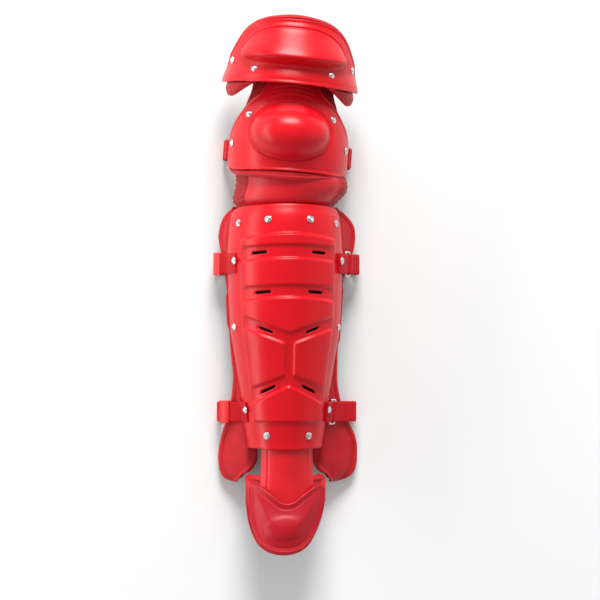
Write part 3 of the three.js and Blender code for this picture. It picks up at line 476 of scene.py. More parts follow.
RED = (0.70, 0.0025, 0.010)
shell_plastic = plastic("shell plastic", RED)
foot_plastic = plastic("foot cap plastic", (0.48, 0.004, 0.014), 0.36)
buckle_plastic = plastic("buckle plastic", (0.78, 0.03, 0.03), 0.35)
pad_cloth = cloth("padding cloth", (0.68, 0.005, 0.013), 0.0009, 0.42, 0.00012, 0.05)
binding_cloth = cloth("binding cloth", (0.52, 0.004, 0.014), 0.0009)
lining_cloth = cloth("lining cloth", (0.012, 0.012, 0.013), 0.0016, sheen=0.1)
gusset_cloth = cloth("gathered cloth", (0.7, 0.005, 0.015), 0.0011, 0.5, sheen=0.05)
soft_vinyl = vinyl("soft vinyl", (0.68, 0.003, 0.012))
strap_webbing = woven("strap webbing", (0.72, 0.006, 0.015))
chrome = metal("chrome", (0.72, 0.72, 0.74), 0.2)

# Shin shell's half width by share of its widest, by share of its length from the bottom edge
SHIN_OUTLINE = [
    [0, 0.65],
    [0.09, 0.705],
    [0.21, 0.765],
    [0.37, 0.866],
    [0.49, 0.946],
    [0.65, 0.985],
    [0.81, 1],
    [0.9, 0.98],
    [0.96, 0.94],
    [1, 0.88],
]
shin_size = curve(SHIN_OUTLINE, soften=0.03)


def shin(angle, share, inset):
    size = shin_size(share)
    return arch(SHIN_HALF_WIDTH * size, SHIN_RISE * size, angle, SHIN_LENGTH * share, inset)


# Raised panels from the bottom up: edges by share of the shell's length, in the middle and at the side
PANELS = [
    {"bottom": (0.107, 0.109), "top": (0.265, 0.196), "pointed": (False, True)},
    {"bottom": (0.3, 0.245), "top": (0.437, 0.498), "pointed": (True, True), "split": True},
    {"bottom": (0.472, 0.538), "top": (0.628, 0.613), "pointed": (True, False)},
    {"bottom": (0.664, 0.655), "top": (0.787, 0.774), "pointed": (False, False)},
    {"bottom": (0.828, 0.818), "top": (0.887, 0.866), "pointed": (False, False)},
]
VENTS = [(0.27, 0.6), (0.29, 0.54), (0.31, 0.586), (0.37, 0.63)]
FIELD_RELIEF = 0.8
PANEL_RELIEF = 2.9
PANEL_SLOPE = 4.2
PANEL_SIDE = 0.745
PANEL_FOOT = 0.785
FIELD_SIDE = 0.795
FIELD_FOOT = 0.825
CHANNEL_CREST = 0.112
CHANNEL_FOOT = 0.062
APEX_ROUND = 0.055
SHELL_RIM = 0.7


# Lines that cross the shell, from the bottom edge up, with the height of the panels and of the field on each
def shin_lines():
    slope = PANEL_SLOPE / SHIN_LENGTH
    lines = []

    def line(ends, shift=0.0, panel=0, field=1, pointed=False, split=False, vent=None, corner=0.0):
        lines.append(
            {
                "ends": (ends[0] + shift, ends[1] + shift),
                "panel": panel,
                "field": field,
                "pointed": pointed,
                "split": split,
                "vent": vent,
                "corner": corner,
            }
        )

    line((0, 0.006), field=0)
    line((0.055, 0.057), field=0)
    for index, panel in enumerate(PANELS):
        split = panel.get("split", False)
        low, high = panel["pointed"]
        last = index == len(PANELS) - 1
        line(panel["bottom"], 0, 0, int(index > 0), low, split)
        line(panel["bottom"], slope, 1, 1, low, split)
        line(panel["top"], -slope, 1, 1, high, split)
        line(panel["top"], 0, 0, int(not last), high, split)
        if last:
            break
        above = PANELS[index + 1]["bottom"]
        centre = [(panel["top"][end] + above[end]) / 2 for end in range(2)]
        line(centre, 0, 0, 1, high, vent=index)
        line(centre, 0, 0, 1, high, vent=index)
    line((0.945, 0.932), field=0)
    line((1, 0.993), field=0, corner=0.022)
    return lines


def vent_middle(index):
    return (PANELS[index]["top"][0] + PANELS[index + 1]["bottom"][0]) / 2


vent_inner = curve([[vent_middle(index), ends[0]] for index, ends in enumerate(VENTS)])
vent_outer = curve([[vent_middle(index), ends[1]] for index, ends in enumerate(VENTS)])


# Angles of the shell's columns at a place along it, from the front round to one side edge
def shin_columns(share):
    inner, outer = vent_inner(share), vent_outer(share)
    stops = [
        (0, CHANNEL_FOOT, 4),
        (CHANNEL_FOOT, CHANNEL_CREST, 7),
        (CHANNEL_CREST, inner, 7),
        (inner, outer, 18),
        (outer, PANEL_SIDE, 4),
        (PANEL_SIDE, PANEL_FOOT, 7),
        (PANEL_FOOT, FIELD_SIDE, 1),
        (FIELD_SIDE, FIELD_FOOT, 4),
    ]
    shares = []
    for index, (start, end, count) in enumerate(stops):
        part = np.arange(count) / count
        if index == 3:
            part = (1 - np.cos(np.pi * part)) / 2
        shares += list(lerp(start, end, part))
    angles = list(np.degrees(np.arcsin(shares)))
    return np.array(angles + list(np.linspace(math.degrees(math.asin(FIELD_FOOT)), 90, 19)))


VENT_COLUMNS = (18, 36)


def shin_shell():
    lines = shin_lines()
    vent_half = VENT_WIDTH / 2 + SHELL_RIM

    def height_of(line, angle, side):
        across = np.abs(np.sin(radians(angle)))
        part = np.minimum(across / PANEL_SIDE, 1.05)
        rounded = np.hypot(part, APEX_ROUND) - APEX_ROUND
        bend = rounded / (math.hypot(1, APEX_ROUND) - APEX_ROUND) if line["pointed"] else part * part
        share = lerp(line["ends"][0], line["ends"][1], bend)
        share = share - line["corner"] * np.clip((np.abs(angle) - 50) / 40, 0, 1) ** 2
        if line["vent"] is None:
            return share
        middle = line["ends"][0]
        width = SHIN_HALF_WIDTH * shin_size(middle)
        centre = (vent_inner(middle) + vent_outer(middle)) / 2 * width
        reach = (vent_outer(middle) - vent_inner(middle)) / 2 * width
        past = np.abs(across * width - centre) - (reach - vent_half)
        inside = np.sqrt(np.clip(vent_half**2 - np.clip(past, 0, None) ** 2, 0, None))
        beyond = vent_half * smooth(vent_half, 3.5 * vent_half, past)
        half = np.maximum(np.where(past < vent_half, inside, beyond), 0.25)
        return share + side * half / SHIN_LENGTH

    front, back, flat, is_open = [], [], [], []
    for order in range(len(lines) - 1):
        low, high = lines[order], lines[order + 1]
        gap = abs(high["ends"][0] - low["ends"][0]) * SHIN_LENGTH
        in_vent = low["vent"] is not None and high["vent"] is not None
        slope = low["panel"] != high["panel"]
        count = 2 if in_vent else 8 if slope else max(2, round(gap / 2.1))
        last = order == len(lines) - 2
        for step in range(count + (1 if last else 0)):
            part = step / count
            middle = lerp(low["ends"][0], high["ends"][0], part)
            half = shin_columns(middle)
            angle = np.concatenate([-half[:0:-1], half])
            share = lerp(height_of(low, angle, 1), height_of(high, angle, -1), part)
            if in_vent:
                share = lerp(height_of(low, angle, -1), height_of(high, angle, 1), part)
            across = np.abs(np.sin(radians(angle)))
            ease = smooth(0, 1, part)
            row_panel = lerp(low["panel"], high["panel"], ease)
            row_field = lerp(low["field"], high["field"], ease)
            panel = row_panel * (1 - smooth(PANEL_SIDE, PANEL_FOOT, across))
            if low["split"] and high["split"]:
                panel = panel * smooth(CHANNEL_FOOT, CHANNEL_CREST, across)
            field = row_field * (1 - smooth(FIELD_SIDE, FIELD_FOOT, across))
            lift = PANEL_RELIEF * panel + FIELD_RELIEF * field
            front.append(shin(angle, share, -lift))
            back.append(shin(angle, share, SHELL_WALL - lift))
            flat.append(np.stack([radians(angle) * SHIN_HALF_WIDTH, share * SHIN_LENGTH], axis=-1))
            cells = np.zeros(len(angle) - 1, bool)
            if in_vent:
                centre = len(half) - 1
                first, end = VENT_COLUMNS
                cells[centre + first : centre + end] = True
                cells[centre - end : centre - first] = True
            is_open.append(cells)
    rows, columns = len(front), len(front[0])
    faces = grid_faces(rows, columns, np.array(is_open[:-1]))
    points = [np.concatenate(side) for side in (front, back, flat)]
    thing = wall("shin_shell_moulded", *points[:2], faces, [shell_plastic], SHELL_RIM, uv=points[2])
    return show(thing, ["shin_shell"])


PAD_INSET = SHELL_WALL + PAD_CLEARANCE


def shin_pad():
    def place(across, up, inset):
        share = lerp(PAD_START + 2, SHIN_LENGTH - PAD_END - 2, up) / SHIN_LENGTH
        return shin(lerp(-88, 88, across), share, PAD_INSET + inset)

    def uv(across, up):
        return np.stack([across * math.pi * SHIN_HALF_WIDTH, up * SHIN_LENGTH], axis=-1)

    up, across = np.meshgrid(np.linspace(0, 1, 91), np.linspace(0, 1, 61), indexing="ij")
    thing = arched_wall(
        "shin_lining", 90, 60, place, PAD_WALL, [lining_cloth], 3, lambda a, u: -quilting(a, u), uv(across, up)
    )
    return show(thing, ["shin_pad"])


# Sewn channels across a lining
def quilting(across, up):
    return 0.5 * (1 - np.abs(np.sin(math.pi * up * 9)) ** 0.5)


# Side wings. Columns: place along the shin shell by share of its length, reach from the middle on the left and
# on the right and inner edge, by share of the wing span, and how far the tip drops, by share of the most
WING_ROWS = [
    [-0.137, 0.73, 0.8, 0.68, 1],
    [-0.128, 0.83, 0.91, 0.645, 1],
    [-0.108, 0.895, 1.01, 0.6, 1],
    [-0.08, 0.925, 1.06, 0.48, 1],
    [-0.037, 0.94, 1.08, 0.41, 1],
    [0, 0.93, 1.08, 0.4, 0.97],
    [0.045, 0.9, 1.05, 0, 0.88],
    [0.1, 0.85, 0.96, 0, 0.72],
    [0.15, 0.8, 0.87, 0, 0.6],
    [0.21, 0.765, 0.815, 0, 0.45],
    [0.29, 0.75, 0.775, 0, 0.33],
    [0.4, 0.785, 0.78, 0, 0.3],
    [0.52, 0.82, 0.81, 0, 0.3],
    [0.65, 0.845, 0.84, 0, 0.33],
    [0.72, 0.87, 0.88, 0, 0.42],
    [0.78, 0.895, 0.96, 0, 0.56],
    [0.83, 0.93, 1.03, 0, 0.7],
    [0.875, 0.95, 1.05, 0, 0.75],
    [0.91, 0.935, 1.04, 0, 0.7],
    [0.945, 0.9, 0.97, 0, 0.55],
    [0.975, 0.83, 0.86, 0, 0.35],
    [0.99, 0.77, 0.79, 0, 0.25],
]
WING_CURVES = [curve(WING_ROWS, column, 0.006) for column in range(1, 5)]
WING_HUNG = PAD_INSET + PAD_WALL - 1
WING_RIM = 2.6
WING_BEAD = 2.8


def wing_at(share, side):
    half_width = SHIN_HALF_WIDTH * shin_size(np.maximum(share, 0))
    tip = WING_SPAN * WING_CURVES[0 if side < 0 else 1](share)
    inner = np.maximum(half_width - WING_HUNG, WING_SPAN * WING_CURVES[2](share))
    bend = half_width + SEAM
    drop = (EDGE_HEIGHT - SEAM - WING_TIP_HEIGHT) * WING_CURVES[3](share)
    reach = np.maximum(tip - bend, 1)
    return tip, inner, bend, drop, reach


def wing_height(x, bend, drop, reach):
    return EDGE_HEIGHT - SEAM - drop * np.clip((x - bend) / reach, 0, 1.05)


# Height of bound padding above its plain surface, by distance from its edge: a bead, a sewn groove, then a crown
def bound_edge(distance, bead, crown):
    roll = 0.9 * bump(distance, bead * 0.5, bead * 0.75)
    groove = -0.9 * bump(distance, bead * 1.9, bead * 0.42)
    return roll + groove + crown * smooth(bead * 2, bead * 8, distance)


def wing(name, side):
    ends = (WING_ROWS[0][0], WING_ROWS[-1][0])
    part = np.linspace(0, 1, 171)
    share = ends[0] + (ends[1] - ends[0]) * (0.55 * part + 0.45 * (1 - np.cos(part * math.pi / 2)))
    share = share[:, None]
    tip, inner, bend, drop, reach = wing_at(share, side)
    tip = tip - WING_RIM
    start = np.minimum(np.maximum(bend, inner), tip - 1.2)
    hidden = np.linspace(0, 1, 4)[None, :-1]
    shown = 1 - (1 - np.linspace(0, 1, 27)[None, :]) ** 1.35
    x = np.concatenate([lerp(inner, start, hidden), lerp(start, tip, shown)], axis=1)
    z = wing_height(x, bend, drop, reach)
    y = np.broadcast_to(share * SHIN_LENGTH, x.shape)
    points = np.stack([side * x, y, z], axis=-1)
    rows, columns = x.shape
    if side < 0:
        points = points[:, ::-1]
    grid = points
    points = points.reshape(-1, 3)
    faces = grid_faces(rows, columns)
    normal = square_to(points, faces)
    tip_column = columns - 1 if side > 0 else 0
    below = share[:, 0] < 0
    inner_column = 0 if side > 0 else columns - 1
    outline = np.concatenate([grid[:, tip_column], grid[0], grid[below, inner_column]])
    distance = np.linalg.norm(points[:, None] - outline[None], axis=2).min(axis=1)
    front = points + normal * bound_edge(distance, WING_BEAD, 1.6)[:, None]
    back = points - normal * (WING_WALL * smooth(-6, 5, distance))[:, None]
    uv = np.stack([points[:, 0], points[:, 1]], axis=-1)
    thing = wall(f"{name}_padded", front, back, faces, [pad_cloth, lining_cloth], WING_RIM, 6, uv)
    return show(thing, [name])


# Distance along each direction from a middle point to the edge of a shape
def reach_to(is_inside, directions):
    near = np.zeros(len(directions))
    far = np.full(len(directions), 4.0 * SHIN_HALF_WIDTH)
    for _ in range(30):
        half = (near + far) / 2
        hit = is_inside(directions[:, 0] * half, directions[:, 1] * half)
        near, far = np.where(hit, half, near), np.where(hit, far, half)
    return near


def spread(segments, squeeze):
    turn = np.arange(segments) * 2 * math.pi / segments
    ways = np.stack([np.cos(turn), squeeze * np.sin(turn)], axis=-1)
    return ways / np.linalg.norm(ways, axis=1, keepdims=True)


# A closed outline's reach, evened out over neighbouring directions so that its corners are round
def evened(reach, half):
    window = np.hanning(2 * half + 3)[1:-1]
    padded = np.pad(reach, half, mode="wrap")
    return np.convolve(padded, window / window.sum(), mode="valid")


def edge_distance(points, outline):
    return np.linalg.norm(points[:, None] - outline[None], axis=2).min(axis=1)


# A piece moulded round the leg, made of rings in sheet coordinates: millimetres round the leg and along it
def cap_wall(name, ways, rings, place, lift, thickness, materials, rim, matrix, steps=4):
    sheet = np.concatenate([[[0.0, 0.0]]] + [ways * ring[:, None] for ring in rings])
    raised = lift(sheet)
    front = place(sheet[:, 0], sheet[:, 1], raised)
    back = place(sheet[:, 0], sheet[:, 1], raised - thickness)
    faces = ring_faces(len(rings), len(ways))
    return wall(name, front, back, faces, materials, rim, steps, sheet, matrix)


def lean(middle_y, turn):
    roll = Matrix.Rotation(math.radians(turn["roll"]), 4, "Z")
    yaw = Matrix.Rotation(math.radians(turn["yaw"]), 4, "Y")
    return Matrix.Translation((turn["shift"], middle_y, 0)) @ roll @ yaw


KNEE_MATRIX = lean(KNEE_MIDDLE, KNEE_LEAN)
THIGH_MATRIX = lean(THIGH_MIDDLE, THIGH_LEAN)

# Knee cap. Columns: place along it in shares of its length above or below the dome's middle, half width by
# share of the widest, and how far round the leg the shell goes in degrees
KNEE_OUTLINE = [
    [-1.24, 0.99, 90],
    [-1, 0.98, 62],
    [-0.95, 0.985, 76],
    [-0.84, 0.99, 86],
    [-0.6, 1, 90],
    [-0.2, 0.99, 86],
    [0.14, 0.965, 73],
    [0.3, 0.935, 65],
    [0.54, 0.875, 54],
    [0.79, 0.78, 38],
    [0.9, 0.755, 35],
    [1, 0.735, 34],
]
knee_size = curve(KNEE_OUTLINE, soften=0.05)
knee_angle = curve(KNEE_OUTLINE, 2, 0)


def knee_share(y):
    return np.where(y < 0, y / KNEE_BELOW, y / KNEE_ABOVE)


def knee(round_leg, y, lift):
    half_width = KNEE_HALF_WIDTH * knee_size(knee_share(y))
    return arch(half_width, half_width, np.degrees(round_leg / KNEE_HALF_WIDTH), y, -lift)


def inside_knee(round_leg, y):
    share = knee_share(y)
    angle = np.abs(np.degrees(round_leg / KNEE_HALF_WIDTH))
    return (share > -1) & (share < 1) & (angle < knee_angle(share))


DOME_ROUND = KNEE_HALF_WIDTH * math.asin(DOME_HALF_WIDTH / KNEE_HALF_WIDTH)
CAP_SEGMENTS = 176
KNEE_WAYS = spread(CAP_SEGMENTS, 0.75)
KNEE_EDGE = evened(reach_to(inside_knee, KNEE_WAYS), 3)


# Relief of a shell's rim: a rolled edge and a fine groove beside it
def rolled_rim(distance):
    return 0.9 * bump(distance, 1.2, 1.5) - 0.45 * bump(distance, 4.6, 1.1)


def knee_relief(sheet):
    x, y = sheet[:, 0], sheet[:, 1]
    size = np.hypot(x / DOME_ROUND, y / DOME_HALF_LENGTH)
    dome = DOME_RISE * np.clip(1 - np.clip(size, 0, None) ** 2.3, 0, None)
    moat = -1.3 * bump(size, 1.055, 0.034)
    neck = y + x * x * 0.0045
    near_middle = 1 - smooth(26, 38, np.abs(x))
    ridges = sum(0.9 * bump(neck, ridge, 1.5) for ridge in (48.5, 54, 59.5)) * near_middle
    distance = edge_distance(sheet, KNEE_WAYS * KNEE_EDGE[:, None])
    return dome + moat + ridges + rolled_rim(distance)


def knee_shell():
    dome_edge = 1 / np.hypot(KNEE_WAYS[:, 0] / DOME_ROUND, KNEE_WAYS[:, 1] / DOME_HALF_LENGTH)
    rings = [dome_edge * part for part in np.linspace(0, 1, 27)[1:]]
    foot = dome_edge * 1.1
    rings += [lerp(dome_edge, foot, part) for part in (0.15, 0.3, 0.45, 0.6, 0.75, 0.9, 1)]
    edge = KNEE_EDGE - SHELL_RIM
    rings += [lerp(foot, edge, part) for part in np.linspace(0, 1, 29)[1:]]
    thing = cap_wall(
        "knee_shell_moulded",
        KNEE_WAYS,
        rings,
        knee,
        knee_relief,
        SHELL_WALL,
        [shell_plastic],
        SHELL_RIM,
        KNEE_MATRIX,
    )
    return show(thing, ["knee_shell"])


# Padding behind a cap: under the shell it follows the shell's back, and outside it stands up as a bound roll
def cap_pad(node, ways, shell_edge, pad_edge, place, matrix):
    under = -SHELL_WALL - CAP_CLEARANCE
    rim = 2.6
    outer = np.maximum(pad_edge - rim, shell_edge * 0.9)
    shows = smooth(1.5, 4.0, pad_edge - shell_edge)
    shows = evened(shows, 4)
    start = np.minimum(shell_edge + PAD_CLEARANCE * 0.6, outer - 1.5)
    rings = [start * part for part in np.linspace(0, 1, 17)[1:]]
    rings += [lerp(start, outer, part) for part in np.linspace(0, 1, 10)[1:]]
    sheet_outline = ways * outer[:, None]
    start_outline = ways * start[:, None]

    def lift(sheet):
        to_edge = edge_distance(sheet, sheet_outline)
        past = np.linalg.norm(sheet, axis=1)
        direction = sheet / np.maximum(past[:, None], 1e-9)
        match = np.argmax(direction @ ways.T, axis=1)
        outside = smooth(-0.4, 1.4, past - start[match]) * shows[match]
        rolled = -0.6 + bound_edge(to_edge, 2.3, 0.4)
        crown = rolled - 1.5 * smooth(3, 0, to_edge)
        return lerp(under, crown, outside)

    materials = [pad_cloth, lining_cloth]
    thing = cap_wall(f"{node}_padded", ways, rings, place, lift, PAD_WALL, materials, rim, matrix, 6)
    return show(thing, [node])


def knee_pad():
    below = np.maximum(0, -KNEE_WAYS[:, 1])
    apron = (KNEE_APRON - KNEE_LIP) * np.sqrt(below) * smooth(0.15, 0.35, below)
    pad_edge = evened(KNEE_EDGE + KNEE_LIP + apron, 4)
    return cap_pad("knee_pad", KNEE_WAYS, KNEE_EDGE, pad_edge, knee, KNEE_MATRIX)


# Thigh cap. Columns as for the knee cap
THIGH_OUTLINE = [
    [-1.6, 1.03, 90],
    [-1, 1.03, 90],
    [-0.5, 1, 85],
    [-0.15, 0.99, 75],
    [0.13, 0.97, 68],
    [0.48, 0.94, 60],
    [0.8, 0.91, 44],
    [0.95, 0.89, 26],
    [1, 0.885, 9],
    [1.2, 0.84, 0],
]
thigh_size = curve(THIGH_OUTLINE, soften=0.04)
thigh_angle = curve(THIGH_OUTLINE, 2, 0)


def thigh_share(y):
    return np.where(y < 0, y / THIGH_BELOW, y / THIGH_ABOVE)


def thigh(round_leg, y, lift):
    half_width = THIGH_HALF_WIDTH * thigh_size(thigh_share(y))
    return arch(half_width, half_width, np.degrees(round_leg / THIGH_HALF_WIDTH), y, -lift)


def inside_thigh(round_leg, y):
    share = thigh_share(y)
    angle = np.abs(np.degrees(round_leg / THIGH_HALF_WIDTH))
    rim = 0.045 * (angle / 90) ** 2 - 1.1
    return (share > rim) & (share < 1) & (angle < thigh_angle(share))


BULGE_ROUND = THIGH_HALF_WIDTH * math.asin(BULGE_HALF_WIDTH / THIGH_HALF_WIDTH)


def inside_bulge(round_leg, y):
    up = y - BULGE_MIDDLE
    return np.hypot(round_leg / BULGE_ROUND, up / np.where(up > 0, BULGE_ABOVE, BULGE_BELOW)) < 1


THIGH_WAYS = spread(CAP_SEGMENTS, 0.55)
THIGH_EDGE = evened(reach_to(inside_thigh, THIGH_WAYS), 2)


def soft_least(first, second, softness):
    return -softness * np.logaddexp(-first / softness, -second / softness)


def thigh_relief(sheet):
    x, y = sheet[:, 0], sheet[:, 1]
    to_end = np.abs(x / BULGE_ROUND)
    size = np.sqrt(np.clip(1 - to_end**2.5, 0, None))
    up = y - BULGE_MIDDLE + BULGE_SAG * size
    length = BULGE_ABOVE + BULGE_SAG
    rise = BULGE_RISE + 0.5
    ramp = rise * (size - up / length)
    drop = rise * (size + up / (1.5 * BULGE_BELOW))
    bulge = 1.2 * np.logaddexp(0, soft_least(ramp, drop, 2.6) / 1.2)
    above = up / length - size
    line = (0.6 * bump(above, 0.12, 0.035) - 0.8 * bump(above, 0.045, 0.03)) * smooth(-2, 4, up)
    line = line * smooth(1.12, 1, to_end)
    distance = edge_distance(sheet, THIGH_WAYS * THIGH_EDGE[:, None])
    flare = 2.4 * smooth(-THIGH_BELOW + 20, -THIGH_BELOW, y)
    return bulge + line + rolled_rim(distance) + flare


def thigh_shell():
    bulge = reach_to(inside_bulge, THIGH_WAYS)
    rings = [bulge * part for part in np.linspace(0, 1, 31)[1:]]
    foot = bulge * 1.12
    rings += [lerp(bulge, foot, part) for part in np.linspace(0, 1, 9)[1:]]
    edge = THIGH_EDGE - SHELL_RIM
    rings += [lerp(foot, edge, part) for part in np.linspace(0, 1, 25)[1:]]
    thing = cap_wall(
        "thigh_shell_moulded",
        THIGH_WAYS,
        rings,
        thigh,
        thigh_relief,
        SHELL_WALL,
        [shell_plastic],
        SHELL_RIM,
        THIGH_MATRIX,
    )
    return show(thing, ["thigh_shell"])


def thigh_pad():
    def inside_flaps(round_leg, y):
        angle = np.abs(np.degrees(round_leg / THIGH_HALF_WIDTH))
        drop = 1.3 * THIGH_FLAP * smooth(40, 49, angle) * smooth(86, 76, angle)
        return (y > -THIGH_BELOW + 2 - drop) & (angle < 90 + math.degrees(CAP_LIP / THIGH_HALF_WIDTH))

    past = THIGH_EDGE + CAP_LIP
    flaps = np.minimum(reach_to(inside_flaps, THIGH_WAYS), past + 1.3 * THIGH_FLAP)
    pad_edge = evened(np.where(THIGH_WAYS[:, 1] > -0.2, past, flaps), 3)
    return cap_pad("thigh_pad", THIGH_WAYS, THIGH_EDGE, pad_edge, thigh, THIGH_MATRIX)


# Soft panel and gathered gussets below the knee. Columns: share of the way up, half width by share of the
# shin shell's widest
SKIRT_OUTLINE = [
    [0, 0.82],
    [0.16, 0.835],
    [0.26, 0.9],
    [0.42, 0.93],
    [0.8, 0.945],
    [1, 0.92],
]
skirt_size = curve(SKIRT_OUTLINE, soften=0.04)


def skirt(angle, up, inset):
    start = SHIN_LENGTH - PAD_END + SEAM
    y = lerp(start, SHIN_LENGTH + SKIRT_SHOWS + SKIRT_TUCK, up)
    size = skirt_size(up)
    half_width = lerp(SHIN_HALF_WIDTH, KNEE_HALF_WIDTH, up) * size
    points = arch(half_width, lerp(SHIN_RISE, KNEE_HALF_WIDTH, up) * SKIRT_RISE * size, angle, y, inset)
    lean = smooth(0.2, 0.7, up)
    points[..., 1] += points[..., 0] * math.tan(math.radians(KNEE_LEAN["roll"])) * lean
    points[..., 0] += KNEE_LEAN["shift"] * lean
    return points


def knee_panel():
    def place(across, up, inset):
        return skirt(lerp(-PANEL_ANGLE, PANEL_ANGLE, across) * 0.985, lerp(0.01, 0.99, up), inset)

    def lift(across, up):
        seam_line = np.minimum(across, 1 - across) * 130
        return -0.8 * bump(seam_line, 4.5, 1.2) + 0.5 * smooth(5, 16, seam_line)

    thing = arched_wall("knee_panel_vinyl", 36, 60, place, SKIRT_WALL, [soft_vinyl], 1.2, lift)
    return show(thing, ["knee_panel"])


def knee_gusset(name, side):
    start = PANEL_ANGLE + math.degrees(SEAM / SHIN_HALF_WIDTH) + 0.6
    ends = (-89, -start) if side < 0 else (start, 89)

    def place(across, up, inset):
        return skirt(lerp(*ends, across), lerp(0.01, 0.99, up), inset)

    def lift(across, up):
        outward = 1 - across if side < 0 else across
        shows = smooth(0.18, 0.3, up)
        gathers = np.cos(2 * math.pi * (GUSSET_PLEATS * 2 * up + 0.2 * np.sin(7 * outward)))
        fine = 0.3 * np.sin(2 * math.pi * (15 * up + 1.3 * outward))
        return -0.65 * (0.3 + 0.7 * outward) * shows * (1 - gathers + fine)

    thing = arched_wall(f"{name}_gathered", 110, 26, place, SKIRT_WALL, [gusset_cloth], 1.2, lift)
    return show(thing, [name])


# Ankle tongue, foot padding and foot cap. Columns: share of the way from the shell's bottom edge to the tip,
# radius of the arch by share of the foot's half width, height of its front by share of the shell's rise there
FOOT_OUTLINE = [
    [0, 0.93, 1],
    [0.2, 1, 0.99],
    [0.4, 1.35, 1],
    [0.7, 1.5, 1.04],
    [1, 1.55, 1.12],
]
FOOT_END = FOOT_START + FOOT_LENGTH
foot_radius_share = curve(FOOT_OUTLINE, 1)
foot_front_share = curve(FOOT_OUTLINE, 2)


def foot_radius(y):
    return FOOT_HALF_WIDTH * foot_radius_share(-y / FOOT_END)


def foot(x, y, inset):
    radius = foot_radius(y)
    front = EDGE_HEIGHT + SHIN_RISE * 0.65 * foot_front_share(-y / FOOT_END)
    turn = np.arcsin(np.clip(x / radius, -0.98, 0.98))
    reach = radius - inset
    z = front - radius + reach * np.cos(turn)
    sway = FOOT_SWAY * smooth(FOOT_START, FOOT_END, -y)
    return np.stack(np.broadcast_arrays(reach * np.sin(turn) - sway, y, z), axis=-1)


# Foot cap's edges below its upper corners, by share of its half width: the dip of its upper edge, and its tip
FOOT_CAP_EDGES = [
    [0, 0.26, 1],
    [0.15, 0.245, 0.995],
    [0.35, 0.165, 0.97],
    [0.6, 0.07, 0.885],
    [0.8, 0.01, 0.715],
    [0.93, 0, 0.505],
    [1, 0.05, 0.31],
]
foot_dip = curve(FOOT_CAP_EDGES, 1, 0.01)
foot_tip = curve(FOOT_CAP_EDGES, 2, 0.01)


def foot_sheet(name, spread_width, upper, lower, inset, thickness, relief, materials, rim, steps=4):
    rows, columns = 60, 72
    up, across = np.meshgrid(np.linspace(0, 1, rows + 1), np.linspace(0, 1, columns + 1), indexing="ij")
    share = -np.cos(math.pi * across)
    y = lerp(lower(np.abs(share)) + rim, upper(np.abs(share)) - rim, up)
    radius = foot_radius(y)
    x = share * (spread_width - rim) * radius / (radius - inset)
    flat = np.stack([x, y], axis=-1)
    outline = np.concatenate([flat[0], flat[-1], flat[:, 0], flat[:, -1]])
    lift = relief(flat.reshape(-1, 2), edge_distance(flat.reshape(-1, 2), outline)).reshape(x.shape)
    front = foot(x, y, inset - lift).reshape(-1, 3)
    back = foot(x, y, inset + thickness - 0.3 * lift).reshape(-1, 3)
    faces = grid_faces(rows + 1, columns + 1)
    return wall(name, front, back, faces, materials, rim, steps, flat.reshape(-1, 2))


def foot_cap():
    def relief(flat, distance):
        x, y = flat[:, 0], flat[:, 1]
        dome = FOOT_DOME * smooth(4, 30, distance)
        flange = 0.9 * bump(distance, 1.0, 1.4) - 0.7 * bump(distance, 6.2, 1.0)
        middle = -FOOT_START - 0.62 * FOOT_LENGTH
        oval = np.hypot(x / 29, (y - middle) / 17)
        return dome + flange + 0.9 * (1 - smooth(0.68, 1.0, oval))

    thing = foot_sheet(
        "foot_cap_moulded",
        FOOT_HALF_WIDTH - FOOT_LIP,
        lambda share: -FOOT_START - FOOT_LIP - FOOT_LENGTH * foot_dip(share),
        lambda share: FOOT_LIP - FOOT_START - FOOT_LENGTH * foot_tip(share),
        0,
        SHELL_WALL,
        relief,
        [foot_plastic],
        0.8,
    )
    return show(thing, ["foot_cap"])


TONGUE_INSET = SHELL_WALL + PAD_CLEARANCE
FOOT_PAD_INSET = TONGUE_INSET + TONGUE_WALL + SEAM


def foot_pad():
    def relief(flat, distance):
        return 3.2 * bump(distance, 1.2, 2.2) - 0.6 * smooth(5, 12, distance)

    thing = foot_sheet(
        "foot_pad_padded",
        FOOT_HALF_WIDTH,
        lambda share: -FOOT_START + 5 + 4 * share,
        lambda share: -FOOT_START - FOOT_LENGTH * foot_tip(share),
        FOOT_PAD_INSET,
        PAD_WALL,
        relief,
        [pad_cloth, lining_cloth],
        3.2,
        6,
    )
    return show(thing, ["foot_pad"])


def ankle_tongue():
    def place(across, up, inset):
        y = lerp(-TONGUE_LENGTH, PAD_START - SEAM, up)
        return foot(lerp(-TONGUE_HALF_WIDTH, TONGUE_HALF_WIDTH, across), y, TONGUE_INSET + inset)

    def lift(across, up):
        from_side = np.minimum(across, 1 - across) * 2 * TONGUE_HALF_WIDTH
        return -1.1 * bump(from_side, 9, 1.1) - 0.8 * smooth(9, 0, from_side)

    thing = arched_wall("ankle_tongue_vinyl", 50, 60, place, TONGUE_WALL, [soft_vinyl], 1.4, lift)
    return show(thing, ["ankle_tongue"])


for make in (shin_shell, shin_pad, knee_shell, knee_pad, thigh_shell, thigh_pad):
    make()
for make in (knee_panel, foot_cap, foot_pad, ankle_tongue):
    make()
for name, side in (("left", -1), ("right", 1)):
    wing(f"wing_{name}", side)
    knee_gusset(f"knee_gusset_{name}", side)

# Straps follow tracks: points of the surfaces that they lie on, for each edge of the webbing
CALF_STRAPS = {"upper": (0.762, 62), "lower": (0.152, 66)}
STRAP_HALF = WEBBING_WIDTH / 2 / SHIN_LENGTH
LAYER = WEBBING_GAP + WEBBING / 2
BAR_ROOM = WIRE / 2 + WEBBING_GAP + WEBBING / 2
UPPER_LAYER = LAYER + WEBBING + WEBBING_GAP


